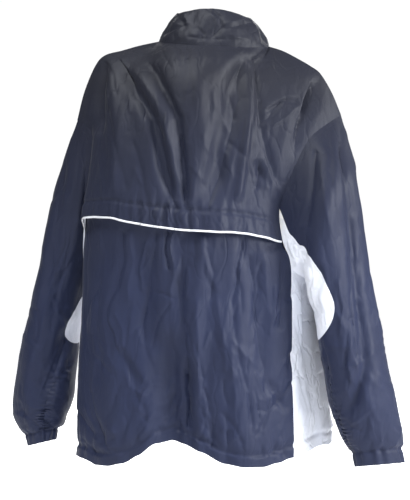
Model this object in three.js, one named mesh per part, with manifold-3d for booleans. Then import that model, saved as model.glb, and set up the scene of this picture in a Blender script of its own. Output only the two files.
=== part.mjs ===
import * as THREE from 'three';
import { mergeVertices } from 'three/addons/utils/BufferGeometryUtils.js';
import Module from 'manifold-3d';

const solids = await Module();
solids.setup();

// Sizes in millimetres. The origin is in the middle of the neck, where the jacket is held.
// The back faces -Y, the wearer's right is +X and up is +Z.
const WALL = 1.6;
const SEAM_GAP = 0.3;
const FLAP_LIFT = 9;
const PIPING_RADIUS = 1.9;
const COLLAR_HEIGHT = 72;
const ZIP_OPENING = 7;
const ZIP_TOP = 0.8;

// The tables read widths and heights in one upright plane through the neck.
// Each point is then carried to its own depth along the line of sight.
const SIGHT_DISTANCE = 2400;
const EYE_HEIGHT = -380;

// Row numbers where one piece gives way to the next.
const UNDERARM_ROW = 7.5;
const FLAP_EDGE_ROW = 6;
const LOWER_BACK_TOP_ROW = 5.3;
const CASING_ROW = 12;
const HEM_ROW = 13;
const CUFF_ROW = 9;
const GUSSET_END = 3.35;
const GUSSET_START_ROW = 5;

const COLOURS = { navy: 0x3c425f, white: 0xe1e1eb, metal: 0x8a8d92 };

function table(names, rows) {
  const keys = names.split(' ');
  return rows.map((row) => Object.fromEntries(keys.map((key, index) => [key, row[index]])));
}

const backRows = table('leftX leftY leftZ rightX rightY rightZ belly lift', [
  [-253, 10, -141, 235, -14, -131, 0.00, 1.00],
  [-239, -8, -151, 206, -30, -150, 0.22, 0.93],
  [-226, -18, -164, 178, -44, -173, 0.42, 0.80],
  [-225, -22, -196, 158, -52, -208, 0.62, 0.60],
  [-230, -19, -242, 138, -58, -255, 0.78, 0.39],
  [-236, -11, -285, 121, -61, -305, 0.90, 0.18],
  [-238, -2, -322, 127, -64, -364, 0.97, 0.04],
  [-241, 8, -385, 140, -65, -398, 1.00, 0],
  [-243, 14, -446, 144, -66, -442, 1.00, 0],
  [-246, 16, -520, 144, -67, -520, 0.98, 0],
  [-250, 16, -600, 144, -68, -600, 0.98, 0],
  [-252, 16, -672, 146, -69, -672, 1.00, 0],
  [-252, 16, -739, 148, -69, -742, 1.00, 0],
  [-254, 16, -762, 149, -70, -765, 0.98, 0],
]);

const frontRows = table('leftX leftY leftZ midX midY midZ rightX rightY rightZ belly lift', [
  [-253, 10, -141, 0, 80, -66, 235, -14, -131, 0.00, 1.00],
  [-240, 28, -152, 0, 88, -92, 232, 8, -148, 0.30, 0.88],
  [-222, 44, -170, 1, 103, -132, 218, 24, -172, 0.62, 0.72],
  [-208, 58, -205, 2, 110, -180, 204, 34, -208, 0.80, 0.52],
  [-200, 70, -255, 3, 113, -230, 193, 40, -255, 0.92, 0.33],
  [-197, 78, -310, 4, 112, -290, 186, 42, -306, 0.95, 0.16],
  [-197, 84, -355, 5, 114, -345, 186, 42, -362, 1.00, 0.04],
  [-198, 87, -400, 6, 115, -400, 190, 41, -400, 1.00, 0],
  [-199, 89, -446, 7, 115, -446, 194, 40, -442, 1.00, 0],
  [-200, 90, -520, 8, 114, -520, 198, 40, -520, 1.00, 0],
  [-202, 91, -600, 9, 112, -600, 206, 40, -600, 1.00, 0],
  [-204, 91, -664, 11, 110, -652, 213, 40, -664, 1.00, 0],
  [-206, 90, -719, 12, 108, -703, 218, 38, -712, 1.00, 0],
  [-206, 88, -742, 12, 106, -726, 218, 37, -735, 1.00, 0],
]);

// The shoulder line from the sleeve seam up to the side of the neck.
const shoulderLines = {
  left: table('x y z', [
    [-253, 10, -141], [-240, 9, -89], [-220, 8, -41], [-202, 7, -21],
    [-170, 8, -12], [-138, 11, -3], [-102, 14, 4.6],
  ]),
  right: table('x y z', [
    [235, -14, -131], [218, -13, -90], [197, -10, -55], [179, -7, -41],
    [157, -2, -28], [128, 7, -13], [102, 14, -4.6],
  ]),
};

// Height of the hem around the back and the right side, read along x.
const hemLine = table('x z', [
  [-262, -758], [-237, -768], [-216, -778], [-190, -780], [-166, -775], [-140, -760], [-113, -738],
  [-83, -731], [-58, -738], [-24, -753], [17, -774], [52, -781], [88, -780], [118, -772],
  [149, -762], [170, -757], [190, -755], [209, -744], [226, -724],
]);

// How far the flap's edge rises above a straight line.
const flapRise = table('x z', [
  [-238, 0], [-211, 5], [-185, 7], [-155, 3], [-115, 1], [-63, 1], [0, 5], [30, 8], [57, 8], [85, 5], [115, 0],
]);

// Twist carries the cloth round its own section, as each sleeve hangs turned.
const sleeveRows = {
  left: table('x y z wide deep turn rise twist', [
    [-258, 66, -345, 22, 74, 155, 105, -15],
    [-275, 74, -438, 35, 80, 152, 42, -36],
    [-292, 72, -510, 42, 78, 156, 22, -14],
    [-306, 68, -585, 50, 72, 160, 10, 22],
    [-314, 62, -640, 55, 66, 166, 4, 62],
    [-321, 56, -682, 50, 60, 172, 0, 72],
    [-320, 50, -706, 42, 54, 178, -3, 76],
    [-319, 46, -717, 32, 48, 180, -6, 78],
    [-318, 44, -737, 26, 44, 180, -6, 80],
  ]),
  right: table('x y z wide deep turn rise twist', [
    [219, -50, -345, 42, 72, -32, 108, 25],
    [228, -49, -420, 47, 80, -32, 72, 50],
    [243, -52, -500, 51, 72, -25, 40, 60],
    [256, -54, -570, 55, 66, -15, 22, 50],
    [270, -56, -640, 60, 58, -8, 12, 36],
    [284, -56, -695, 58, 50, 0, 8, 26],
    [295, -56, -733, 54, 42, 5, 5, 20],
    [301, -56, -752, 47, 36, 5, 4, 20],
    [307, -56, -778, 46, 34, 5, 4, 20],
  ]),
};

// How far the underarm gusset reaches round the sleeve on each side, in degrees.
const gussetReach = table('at degrees', [
  [0, 84], [0.3, 66], [0.6, 52], [1.2, 42], [2, 46], [2.5, 50], [3, 57], [3.35, 60],
]);

// Folds on the side seen from behind: three points on the line, half width and depth.
const backFolds = table('x0 z0 x1 z1 x2 z2 width depth', [
  [-178, -35, -115, -137, -78, -285, 10, -9],
  [-142, -42, -92, -130, -68, -250, 11, 6],
  [-120, -39, -67, -137, -55, -285, 9, -8],
  [54, -24, 20, -161, -13, -285, 18, -10],
  [66, -36, 66, -130, 43, -290, 9, 8],
  [77, -30, 90, -172, 118, -262, 7, -6],
  [102, -126, 137, -102, 152, -108, 6, -5],
  [80, -222, 87, -238, 97, -256, 8, -6],
  [203, -55, 178, -128, 160, -200, 13, -24],
  [-209, -32, -216, -92, -214, -160, 11, -15],
  [-186, -60, -176, -150, -182, -270, 16, 7],
  [-30, -60, -26, -160, -34, -280, 20, 6],
  [-196, -420, -188, -560, -190, -790, 30, 10],
  [-90, -560, -84, -680, -82, -790, 30, -26],
  [-50, -590, -47, -680, -44, -770, 10, -9],
  [20, -500, 48, -650, 60, -800, 40, 12],
  [-140, -360, -128, -450, -120, -560, 18, -7],
  [-20, -370, -34, -480, -40, -600, 20, 7],
  [66, -380, 82, -480, 90, -600, 17, -6],
  [-170, -568, -152, -606, -137, -640, 9, -5],
  [-216, -684, -208, -702, -196, -722, 9, -6],
  [102, -625, 116, -648, 130, -672, 9, -6],
  [118, -735, 130, -752, 142, -770, 8, -5],
  [176, -470, 172, -560, 190, -640, 11, -8],
  [182, -640, 196, -690, 190, -745, 11, -7],
  [236, -180, 248, -330, 256, -480, 11, -12],
  [256, -480, 266, -590, 238, -668, 11, -11],
  [180, -410, 184, -432, 176, -470, 9, -8],
  [282, -300, 296, -420, 312, -540, 16, 6],
  [-276, -240, -290, -340, -312, -450, 14, -6],
  [-268, -520, -290, -575, -322, -655, 13, -9],
  [-330, -560, -345, -610, -350, -670, 12, 5],
]);

// Folds on the side away from the photograph, of the same kind.
const frontFolds = table('x0 z0 x1 z1 x2 z2 width depth', [
  [-190, -60, -160, -170, -150, -300, 16, -9],
  [-110, -60, -96, -180, -104, -330, 14, 7],
  [170, -70, 150, -180, 140, -310, 15, -10],
  [105, -70, 92, -200, 96, -340, 14, 7],
  [-150, -380, -140, -560, -132, -790, 28, -12],
  [-80, -440, -76, -600, -84, -790, 26, 9],
  [150, -390, 142, -560, 150, -790, 26, -11],
  [84, -430, 78, -600, 88, -790, 24, 9],
  [-290, -260, -306, -420, -330, -560, 14, -8],
  [262, -240, 284, -400, 300, -560, 14, -8],
  [290, -560, 302, -620, 320, -680, 12, -7],
  [-318, -580, -330, -620, -345, -665, 12, -7],
]);

const mix = (a, b, t) => a + (b - a) * t;
const clamp01 = (t) => Math.min(1, Math.max(0, t));
const ease = (low, high, value) => {
  const t = clamp01((value - low) / (high - low));
  return t * t * (3 - 2 * t);
};
const vector = (x, y, z) => new THREE.Vector3(x, y, z);
const numbers = (count) => Array.from({ length: count }, (_, i) => i);
const steps = (first, last, count) => Array.from({ length: count + 1 }, (_, i) => mix(first, last, i / count));

// A smooth curve through a list of points, read at a fractional index.
function throughPoints(pointAt, count, index) {
  const base = Math.min(count - 2, Math.max(0, Math.floor(index)));
  const t = index - base;
  const here = pointAt(base);
  const next = pointAt(base + 1);
  const before = base > 0 ? pointAt(base - 1) : here.clone().multiplyScalar(2).sub(next);
  const after = base < count - 2 ? pointAt(base + 2) : next.clone().multiplyScalar(2).sub(here);
  const leave = next.clone().sub(before).multiplyScalar(0.5);
  const arrive = after.clone().sub(here).multiplyScalar(0.5);
  return hermite(here, leave, next, arrive, t);
}

function hermite(start, leave, end, arrive, t) {
  const t2 = t * t;
  const t3 = t2 * t;
  return start.clone().multiplyScalar(2 * t3 - 3 * t2 + 1)
    .addScaledVector(leave, t3 - 2 * t2 + t)
    .addScaledVector(end, 3 * t2 - 2 * t3)
    .addScaledVector(arrive, t3 - t2);
}

function readTable(rows, keyName, valueName, key) {
  if (key <= rows[0][keyName]) return rows[0][valueName];
  const after = rows.findIndex((row) => row[keyName] >= key);
  if (after < 0) return rows[rows.length - 1][valueName];
  const low = rows[after - 1];
  const high = rows[after];
  const t = (key - low[keyName]) / (high[keyName] - low[keyName]);
  return mix(low[valueName], high[valueName], t * t * (3 - 2 * t) * 0.5 + t * 0.5);
}

// The depth of every fold at one place in the plane of sight.
function foldDepth(folds, x, z) {
  let depth = 0;
  for (const fold of folds) {
    const highest = Math.max(fold.z0, fold.z1, fold.z2);
    const lowest = Math.min(fold.z0, fold.z1, fold.z2);
    const margin = fold.width * 2;
    if (z > highest + margin || z < lowest - margin) continue;
    const first = segmentDistance(x, z, fold.x0, fold.z0, fold.x1, fold.z1);
    const second = segmentDistance(x, z, fold.x1, fold.z1, fold.x2, fold.z2);
    const near = Math.min(first, second) / fold.width;
    const fade = ease(lowest - margin, lowest + margin, z) * (1 - ease(highest - margin, highest + margin, z));
    depth += fold.depth * Math.exp(-near * near) * fade;
  }
  return depth;
}

function segmentDistance(x, z, x0, z0, x1, z1) {
  const alongX = x1 - x0;
  const alongZ = z1 - z0;
  const t = clamp01(((x - x0) * alongX + (z - z0) * alongZ) / (alongX * alongX + alongZ * alongZ));
  return Math.hypot(x - x0 - alongX * t, z - z0 - alongZ * t);
}

function carryToDepth(point) {
  const scale = 1 + point.y / SIGHT_DISTANCE;
  return vector(point.x * scale, point.y, EYE_HEIGHT + (point.z - EYE_HEIGHT) * scale);
}

// The neck seam. The angle runs from the right side through the front and the left to the back.
function neckPoint(angle) {
  const x = 102 * Math.cos(angle);
  const y = 14 + 66 * Math.sin(angle);
  const forward = Math.max(0, Math.sin(angle));
  const rearward = Math.max(0, -Math.sin(angle));
  return vector(x, y, -0.045 * x - 66 * forward ** 1.3 - 4 * rearward);
}

function shoulderPoint(side, t) {
  const line = shoulderLines[side];
  return throughPoints((i) => vector(line[i].x, line[i].y, line[i].z), line.length, t * (line.length - 1));
}

// The neck edge stays clear of the zip, half its opening on each side.
function neckEdge(angle) {
  const point = neckPoint(angle);
  const side = angle < 1.5 * Math.PI && angle >= Math.PI / 2 ? -1 : 1;
  point.x += side * ZIP_OPENING / 2 * ease(0.4, 1, Math.sin(angle));
  return point;
}

const NECK_START = 0.31;
const NECK_END = 0.71;
const FRONT_NECK_START = 0.6;

function backCrest(u) {
  if (u < NECK_START) return shoulderPoint('left', u / NECK_START);
  if (u > NECK_END) return shoulderPoint('right', (1 - u) / (1 - NECK_END));
  return neckPoint(Math.PI * (1 + (u - NECK_START) / (NECK_END - NECK_START)));
}

function frontCrest(side, u) {
  if (u < FRONT_NECK_START) return shoulderPoint(side, u / FRONT_NECK_START);
  const quarter = (u - FRONT_NECK_START) / (1 - FRONT_NECK_START) * Math.PI / 2;
  return neckEdge(side === 'left' ? Math.PI - quarter : 2 * Math.PI + quarter);
}

// One level of cloth between two seams, straight where belly is 0 and full where it is 1.
function level(start, end, leaving, arriving, belly, u) {
  const chord = end.clone().sub(start);
  const leave = chord.clone().lerp(leaving, belly);
  const arrive = chord.clone().lerp(arriving, belly);
  return hermite(start, leave, end, arrive, u);
}

const BACK_LEAVING = vector(-45, -400, 0);
const BACK_ARRIVING = vector(310, 250, 0);
const SIDE_RIGHT_ARRIVING = vector(-20, 110, 0);
const SIDE_LEFT_LEAVING = vector(-70, -80, 0);

function backRowPoint(index, u) {
  const row = backRows[index];
  const left = vector(row.leftX, row.leftY, row.leftZ);
  const right = vector(row.rightX, row.rightY, row.rightZ);
  const point = level(left, right, BACK_LEAVING, BACK_ARRIVING, row.belly, u);
  if (row.lift > 0) {
    const top = backRows[0];
    const straight = vector(top.leftX, top.leftY, top.leftZ).lerp(vector(top.rightX, top.rightY, top.rightZ), u);
    point.addScaledVector(backCrest(u).sub(straight), row.lift);
  }
  return point;
}

function frontRowPoint(side, index, u) {
  const row = frontRows[index];
  const mirror = side === 'left' ? -1 : 1;
  const edge = vector(row[`${side}X`], row[`${side}Y`], row[`${side}Z`]);
  const middle = vector(row.midX + mirror * ZIP_OPENING / 2, row.midY, row.midZ);
  const leaving = side === 'left' ? vector(110, 70, 0) : vector(-60, 150, 0);
  const arriving = vector(-mirror * 230, 0, 0);
  const point = level(edge, middle, leaving, arriving, row.belly, u);
  if (row.lift > 0) {
    const top = frontRows[0];
    const topEdge = vector(top[`${side}X`], top[`${side}Y`], top[`${side}Z`]);
    const topMiddle = vector(top.midX + mirror * ZIP_OPENING / 2, top.midY, top.midZ);
    point.addScaledVector(frontCrest(side, u).sub(topEdge.lerp(topMiddle, u)), row.lift);
  }
  return point;
}

function sideRowPoint(side, index, q) {
  const back = backRowPoint(index, side === 'left' ? 0 : 1);
  const front = frontRowPoint(side, index, 0);
  if (side === 'right') return hermite(back, vector(72, 58, 0), front, SIDE_RIGHT_ARRIVING, q);
  return hermite(back, vector(5, 100, 0), front, SIDE_LEFT_LEAVING.clone().negate(), q);
}

function smoothRows(rowPointAt, row) {
  return throughPoints(rowPointAt, HEM_ROW + 1, row);
}

const outward = (point) => vector(point.x + 20, point.y * 1.6, 0).normalize();

// The hem and casings are gathered by elastic.
function dressBody(point, row, edgeFade, gatherFade = 1) {
  const { x, y, z } = point;
  const out = outward(point);
  const behind = 1 - ease(-20, 25, y + x * 0.1);
  const folds = foldDepth(backFolds, x, z) * behind + foldDepth(frontFolds, x, z) * (1 - behind);
  const hemShare = ease(10, 12, row) * behind;
  const hemShift = (readTable(hemLine, 'x', 'z', x) + 762) * hemShare;
  const flapShift = readTable(flapRise, 'x', 'z', x) * Math.exp(-((row - FLAP_EDGE_ROW) ** 2) / 1.2) * behind;
  const casing = ease(11.6, 12.1, row);
  const gathers = hemGathers(x, y) * casing * 1.3 * gatherFade;
  const cinch = -3 * Math.exp(-((row - 12) ** 2) / 0.05) * gatherFade;
  return point.clone().addScaledVector(out, folds * edgeFade * ease(0, 0.9, row) + gathers + cinch)
    .add(vector(0, 0, hemShift + flapShift));
}

function hemGathers(x, y) {
  const around = Math.atan2(y * 1.9, x + 20);
  const strong = 0.45 + 0.55 * Math.exp(-(((x + 25) / 75) ** 2)) * (y < 0 ? 1 : 0.6);
  return strong * (Math.sin(around * 29) + 0.5 * Math.sin(around * 43 + 1.3));
}

const armholeFade = (u, row) => mix(ease(0, 0.07, Math.min(u, 1 - u)), 1, ease(7, 8.4, row));

function backPoint(u, row) {
  const point = smoothRows((index) => backRowPoint(index, u), row);
  return carryToDepth(dressBody(point, row, armholeFade(u, row)));
}

function frontPoint(side, u, row) {
  const point = smoothRows((index) => frontRowPoint(side, index, u), row);
  const atZip = 1 - ease(0.8, 0.93, u);
  const atArmhole = mix(ease(0, 0.1, u), 1, ease(7, 8.4, row));
  return carryToDepth(dressBody(point, row, Math.min(atZip, atArmhole), atZip));
}

function sidePoint(side, q, row) {
  const point = smoothRows((index) => sideRowPoint(side, index, q), row);
  return carryToDepth(dressBody(point, row, ease(7, 8.4, row)));
}

// Under the flap the lower back lies a little further in.
function lowerPoint(u, row) {
  const point = backPoint(u, row);
  return point.addScaledVector(outward(point), -3 * (1 - ease(6.15, 6.9, row)));
}

const underarmRow = (q) => UNDERARM_ROW + 0.4 * Math.sin(Math.PI * q);

// The flap hangs clear of the lower back, more in the middle than at its ends.
function yokePoint(u, row) {
  const point = backPoint(u, row);
  const toEdge = ease(4.3, FLAP_EDGE_ROW, row);
  const ends = ease(0, 0.1, Math.min(u, 1 - u));
  const uneven = 0.75 + 0.3 * Math.sin(u * 9.5 + 0.6) + 0.2 * Math.sin(u * 21);
  const casing = ease(5.25, 5.5, row);
  const strong = 0.25 + Math.exp(-(((u - 0.52) / 0.14) ** 2));
  const gathers = casing * strong * 1.3 * (Math.sin(u * 132) + 0.4 * Math.sin(u * 190 + 1));
  const cinch = -1.6 * Math.exp(-((row - 5.45) ** 2) / 0.02) * ends;
  return point.addScaledVector(outward(point), ends * (toEdge * FLAP_LIFT * uneven + gathers + cinch));
}

// The loop of the armhole: 0 at the shoulder, a half turn at the underarm, by way of the back.
function armholePoint(side, angle) {
  const turn = (angle / (2 * Math.PI)) % 1;
  const edge = side === 'left' ? 0 : 1;
  if (turn < 0.4) return backPoint(edge, UNDERARM_ROW * turn / 0.4);
  if (turn > 0.6) return frontPoint(side, 0, UNDERARM_ROW * (1 - turn) / 0.4);
  const q = (turn - 0.4) / 0.2;
  return sidePoint(side, q, underarmRow(q));
}

function armholeOut(side, angle) {
  const out = side === 'left' ? -1 : 1;
  const rise = Math.cos(angle);
  const rear = Math.sin(angle);
  const rearward = side === 'left' ? vector(-0.55, -0.83, 0) : vector(0.42, -0.9, 0);
  return vector(0.8 * out, 0, 0.6).multiplyScalar(Math.max(0, rise))
    .addScaledVector(vector(0, 0, -1), Math.max(0, -rise) ** 6)
    .addScaledVector(rearward, Math.max(0, rear))
    .addScaledVector(vector(0, 1, 0), Math.max(0, -rear))
    .normalize();
}

function sleeveFrame(side, index) {
  const row = sleeveRows[side][index - 1];
  const turn = THREE.MathUtils.degToRad(row.turn);
  const outer = vector(Math.cos(turn) * row.wide, Math.sin(turn) * row.wide, row.rise);
  const handed = side === 'left' ? -1 : 1;
  const rear = vector(Math.sin(turn), -Math.cos(turn), 0).multiplyScalar(row.deep * handed);
  const twist = THREE.MathUtils.degToRad(row.twist);
  return { centre: vector(row.x, row.y, row.z), outer, rear, twist };
}

function sleeveRingPoint(side, index, angle) {
  if (index === 0) return armholePoint(side, angle);
  const { centre, outer, rear, twist } = sleeveFrame(side, index);
  const place = angle - twist;
  return carryToDepth(centre.addScaledVector(outer, Math.cos(place)).addScaledVector(rear, Math.sin(place)));
}

function sleevePoint(side, angle, v) {
  const point = throughPoints((index) => sleeveRingPoint(side, index, angle), CUFF_ROW + 1, v);
  const centre = throughPoints((index) => (index === 0
    ? sleeveRingPoint(side, 0, 0).lerp(sleeveRingPoint(side, 0, Math.PI), 0.5)
    : carryToDepth(sleeveFrame(side, index).centre)), CUFF_ROW + 1, v);
  const out = point.clone().sub(centre).setZ(0).normalize();
  const behind = 1 - ease(-12, 18, point.y - centre.y);
  const fade = ease(0.15, 0.9, v);
  const folds = foldDepth(backFolds, point.x, point.z) * behind + foldDepth(frontFolds, point.x, point.z) * (1 - behind);
  const cuff = ease(7.5, 8.1, v);
  const gathers = cuff * 1.3 * (Math.sin(angle * 13) + 0.4 * Math.sin(angle * 19 + 1));
  const cinch = -2.2 * Math.exp(-((v - 8) ** 2) / 0.04);
  const underSeam = -2.2 * Math.exp(-(1 + Math.cos(angle)) / 0.01) * ease(3.4, 4, v) * (1 - cuff);
  return point.addScaledVector(out, folds * fade + gathers + cinch + underSeam);
}

function gussetHalf(v) {
  const reach = THREE.MathUtils.degToRad(readTable(gussetReach, 'at', 'degrees', v));
  const rounding = Math.sqrt(Math.max(0, 1 - (v / GUSSET_END) ** 7));
  return v >= GUSSET_END ? 0 : reach * rounding;
}

function sleevePanelAngle(u, v) {
  const half = gussetHalf(v);
  return mix(Math.PI + half, 3 * Math.PI - half, u);
}

// Each edge of a grid of points draws back from its seam by half the gap.
function leaveSeamGaps(grid) {
  const lastRow = grid.length - 1;
  const lastColumn = grid[0].length - 1;
  const moves = [];
  const draw = (j, i, inner, before, after) => {
    const seam = after.clone().sub(before).normalize();
    const away = inner.clone().sub(grid[j][i]);
    away.addScaledVector(seam, -away.dot(seam)).normalize();
    moves.push([grid[j][i], away.multiplyScalar(SEAM_GAP / 2)]);
  };
  grid.forEach((line, j) => {
    const before = grid[Math.max(0, j - 1)];
    const after = grid[Math.min(lastRow, j + 1)];
    draw(j, 0, line[1], before[0], after[0]);
    draw(j, lastColumn, line[lastColumn - 1], before[lastColumn], after[lastColumn]);
  });
  for (let i = 0; i <= lastColumn; i += 1) {
    const before = Math.max(0, i - 1);
    const after = Math.min(lastColumn, i + 1);
    draw(0, i, grid[1][i], grid[0][before], grid[0][after]);
    draw(lastRow, i, grid[lastRow - 1][i], grid[lastRow][before], grid[lastRow][after]);
  }
  moves.forEach(([point, away]) => point.add(away));
}

// Cloth between an outer face, an inner face one wall below it and a rim all round.
function cloth(name, colour, columns, rows, pointAt, facing, outAt = {}) {
  const grid = rows.map((v) => columns.map((u) => pointAt(u, v)));
  if (outAt.straightTop) {
    for (let i = 1; i < columns.length - 1; i += 2) grid[0][i].lerpVectors(grid[0][i - 1], grid[0][i + 1], 0.5);
  }
  const lastRow = rows.length - 1;
  const lastColumn = columns.length - 1;
  const normals = grid.map((line, j) => line.map((_, i) => {
    const across = line[Math.min(lastColumn, i + 1)].clone().sub(line[Math.max(0, i - 1)]);
    const along = grid[Math.min(lastRow, j + 1)][i].clone().sub(grid[Math.max(0, j - 1)][i]);
    return across.cross(along).multiplyScalar(facing).normalize();
  }));
  rows.forEach((v, j) => {
    if (outAt.left) normals[j][0] = outAt.left(v);
    if (outAt.right) normals[j][lastColumn] = outAt.right(v);
  });
  columns.forEach((u, i) => {
    if (outAt.top) normals[0][i] = outAt.top(u);
    if (outAt.bottom) normals[lastRow][i] = outAt.bottom(u);
  });
  leaveSeamGaps(grid);
  const outer = grid.flat();
  const inner = outer.map((point, k) => point.clone().addScaledVector(normals.flat()[k], -WALL));
  return solidFromGrid(name, colour, outer, inner, columns.length, rows.length, facing);
}

function solidFromGrid(name, colour, outer, inner, wide, high, facing) {
  const count = outer.length;
  const faces = [];
  const quad = (a, b, c, d) => faces.push(...(facing > 0 ? [a, b, c, a, c, d] : [a, c, b, a, d, c]));
  for (let j = 0; j < high - 1; j += 1) {
    for (let i = 0; i < wide - 1; i += 1) {
      const a = j * wide + i;
      quad(a, a + 1, a + 1 + wide, a + wide);
      quad(count + a, count + a + wide, count + a + 1 + wide, count + a + 1);
    }
  }
  const ring = [
    ...numbers(wide - 1),
    ...numbers(high - 1).map((j) => j * wide + wide - 1),
    ...numbers(wide - 1).map((i) => high * wide - 1 - i),
    ...numbers(high - 1).map((j) => (high - 1 - j) * wide),
  ];
  ring.forEach((a, k) => {
    const b = ring[(k + 1) % ring.length];
    const falling = outer[a].distanceTo(inner[b]);
    const rising = outer[b].distanceTo(inner[a]);
    if (falling < rising) quad(count + b, b, a, count + a);
    else quad(b, a, count + a, count + b);
  });
  return meshFrom(name, colour, [...outer, ...inner], faces);
}

function meshFrom(name, colour, points, faces) {
  const geometry = new THREE.BufferGeometry();
  geometry.setAttribute('position', new THREE.Float32BufferAttribute(points.flatMap((p) => [p.x, p.y, p.z]), 3));
  geometry.setIndex(faces);
  geometry.computeVertexNormals();
  const material = new THREE.MeshStandardMaterial({ color: COLOURS[colour], roughness: 0.6 });
  material.name = colour;
  const mesh = new THREE.Mesh(geometry, material);
  mesh.name = name;
  return mesh;
}

// Which way is out along the shoulder line and the neck seam, shared by the pieces that meet there.
function crestOut(point) {
  const neck = vector(point.x, point.y - 14, 0).normalize().multiplyScalar(0.8).setZ(0.6);
  const reach = Math.abs(point.x);
  const side = Math.sign(point.x) * ease(170, 245, reach);
  const shoulder = vector(side, 0, 1 - 0.55 * Math.abs(side));
  return neck.lerp(shoulder, ease(98, 130, reach)).normalize();
}

const edgeFor = (side) => (side === 'left' ? 0 : 1);
const backArmholeOut = (side) => (row) => (row <= UNDERARM_ROW
  ? armholeOut(side, 0.8 * Math.PI * row / UNDERARM_ROW)
  : sideSeamOut(backPoint(edgeFor(side), row)));
const frontArmholeOut = (side) => (row) => (row <= UNDERARM_ROW
  ? armholeOut(side, 2 * Math.PI - 0.8 * Math.PI * row / UNDERARM_ROW)
  : sideSeamOut(frontPoint(side, 0, row)));

function sideSeamOut(point) {
  return vector(point.x + 25, point.y * 2.2, 0).normalize();
}

const YOKE_ROWS = [0, 0.35, 0.8, 1.4, 2, 2.7, 3.5, 4.3, GUSSET_START_ROW, 5.25, 5.45, 5.7, FLAP_EDGE_ROW];
const LOWER_ROWS = [UNDERARM_ROW, 8.2, 9, 9.8, 10.5, 11.1, 11.6, CASING_ROW, 12.4, HEM_ROW];
const FRONT_ROWS = [0, 0.4, 1, 1.8, 2.8, 3.9, GUSSET_START_ROW, 6.2, ...LOWER_ROWS];
const BACK_SEAM_ROWS = [...YOKE_ROWS, 6.4, 6.9, UNDERARM_ROW];
const GUSSET_ROWS = [0, 0.35, 0.8, 1.3, 1.9, 2.5, 2.95, 3.18, 3.3];
const SHOULDER_STEPS = 12;
const BACK_NECK_STEPS = 16;
const FRONT_NECK_STEPS = 5;
const SIDE_STEPS = 6;

function yokeColumns() {
  return [
    ...steps(0, NECK_START, SHOULDER_STEPS),
    ...steps(NECK_START, NECK_END, BACK_NECK_STEPS).slice(1, -1),
    ...steps(NECK_END, 1, SHOULDER_STEPS),
  ];
}

function frontColumns() {
  return [
    ...steps(0, FRONT_NECK_START, SHOULDER_STEPS),
    ...steps(FRONT_NECK_START, 1, FRONT_NECK_STEPS).slice(1),
  ];
}

const backSeamAngle = (row) => 0.8 * Math.PI * row / UNDERARM_ROW;
const frontSeamAngle = (row) => 2 * Math.PI - 0.8 * Math.PI * row / UNDERARM_ROW;

// The sleeve and gusset meet the body at the same points along the armhole as its panels do.
function sleeveColumns() {
  const front = FRONT_ROWS.filter((row) => row <= GUSSET_START_ROW).reverse().map(frontSeamAngle);
  const back = YOKE_ROWS.filter((row) => row > 0 && row <= GUSSET_START_ROW).map((row) => 2 * Math.PI + backSeamAngle(row));
  const angles = [...front, ...back];
  return angles.map((angle) => (angle - angles[0]) / (angles[angles.length - 1] - angles[0]));
}

const withMiddles = (values) => values.flatMap((value, i) => (i === 0 ? [value] : [(values[i - 1] + value) / 2, value]));

function gussetColumns() {
  const back = BACK_SEAM_ROWS.filter((row) => row >= GUSSET_START_ROW).map(backSeamAngle);
  const under = steps(0.8, 1.2, SIDE_STEPS).slice(1, -1).map((turn) => turn * Math.PI);
  const front = FRONT_ROWS.filter((row) => row >= GUSSET_START_ROW && row <= UNDERARM_ROW).reverse().map(frontSeamAngle);
  const angles = [...back, ...under, ...front];
  return angles.map((angle) => (angle - angles[0]) / (angles[angles.length - 1] - angles[0]));
}

function backYoke() {
  return cloth('back_yoke', 'navy', yokeColumns(), YOKE_ROWS, yokePoint, -1, {
    top: (u) => crestOut(backCrest(u)),
    left: backArmholeOut('left'),
    right: backArmholeOut('right'),
  });
}

function backLower() {
  const rows = [LOWER_BACK_TOP_ROW, 5.7, FLAP_EDGE_ROW, 6.4, 6.9, ...LOWER_ROWS];
  return cloth('back_lower', 'navy', steps(0, 1, 38), rows, lowerPoint, -1, {
    left: backArmholeOut('left'),
    right: backArmholeOut('right'),
  });
}

function front(side) {
  const facing = side === 'left' ? 1 : -1;
  const pointAt = (u, row) => frontPoint(side, u, row);
  return cloth(`front_${side}`, 'navy', frontColumns(), FRONT_ROWS, pointAt, facing, {
    top: (u) => crestOut(frontCrest(side, u)),
    left: frontArmholeOut(side),
  });
}

function sidePanel(side) {
  const rows = LOWER_ROWS.map((row) => (row - UNDERARM_ROW) / (HEM_ROW - UNDERARM_ROW));
  const facing = side === 'left' ? 1 : -1;
  const pointAt = (q, v) => sidePoint(side, q, mix(underarmRow(q), HEM_ROW, v));
  return cloth(`side_panel_${side}`, 'white', steps(0, 1, SIDE_STEPS), rows, pointAt, facing, {
    top: (q) => armholeOut(side, mix(0.8, 1.2, q) * Math.PI),
    left: (v) => sideSeamOut(pointAt(0, v)),
    right: (v) => sideSeamOut(pointAt(1, v)),
  });
}

// Which way is out on a sleeve, shared by the sleeve and its gusset.
function sleeveOut(side, angle, v) {
  const around = sleevePoint(side, angle + 0.08, v).sub(sleevePoint(side, angle - 0.08, v));
  const down = sleevePoint(side, angle, Math.min(CUFF_ROW, v + 0.05)).sub(sleevePoint(side, angle, Math.max(0, v - 0.05)));
  return around.cross(down).normalize().multiplyScalar(side === 'left' ? -1 : 1);
}

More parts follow.
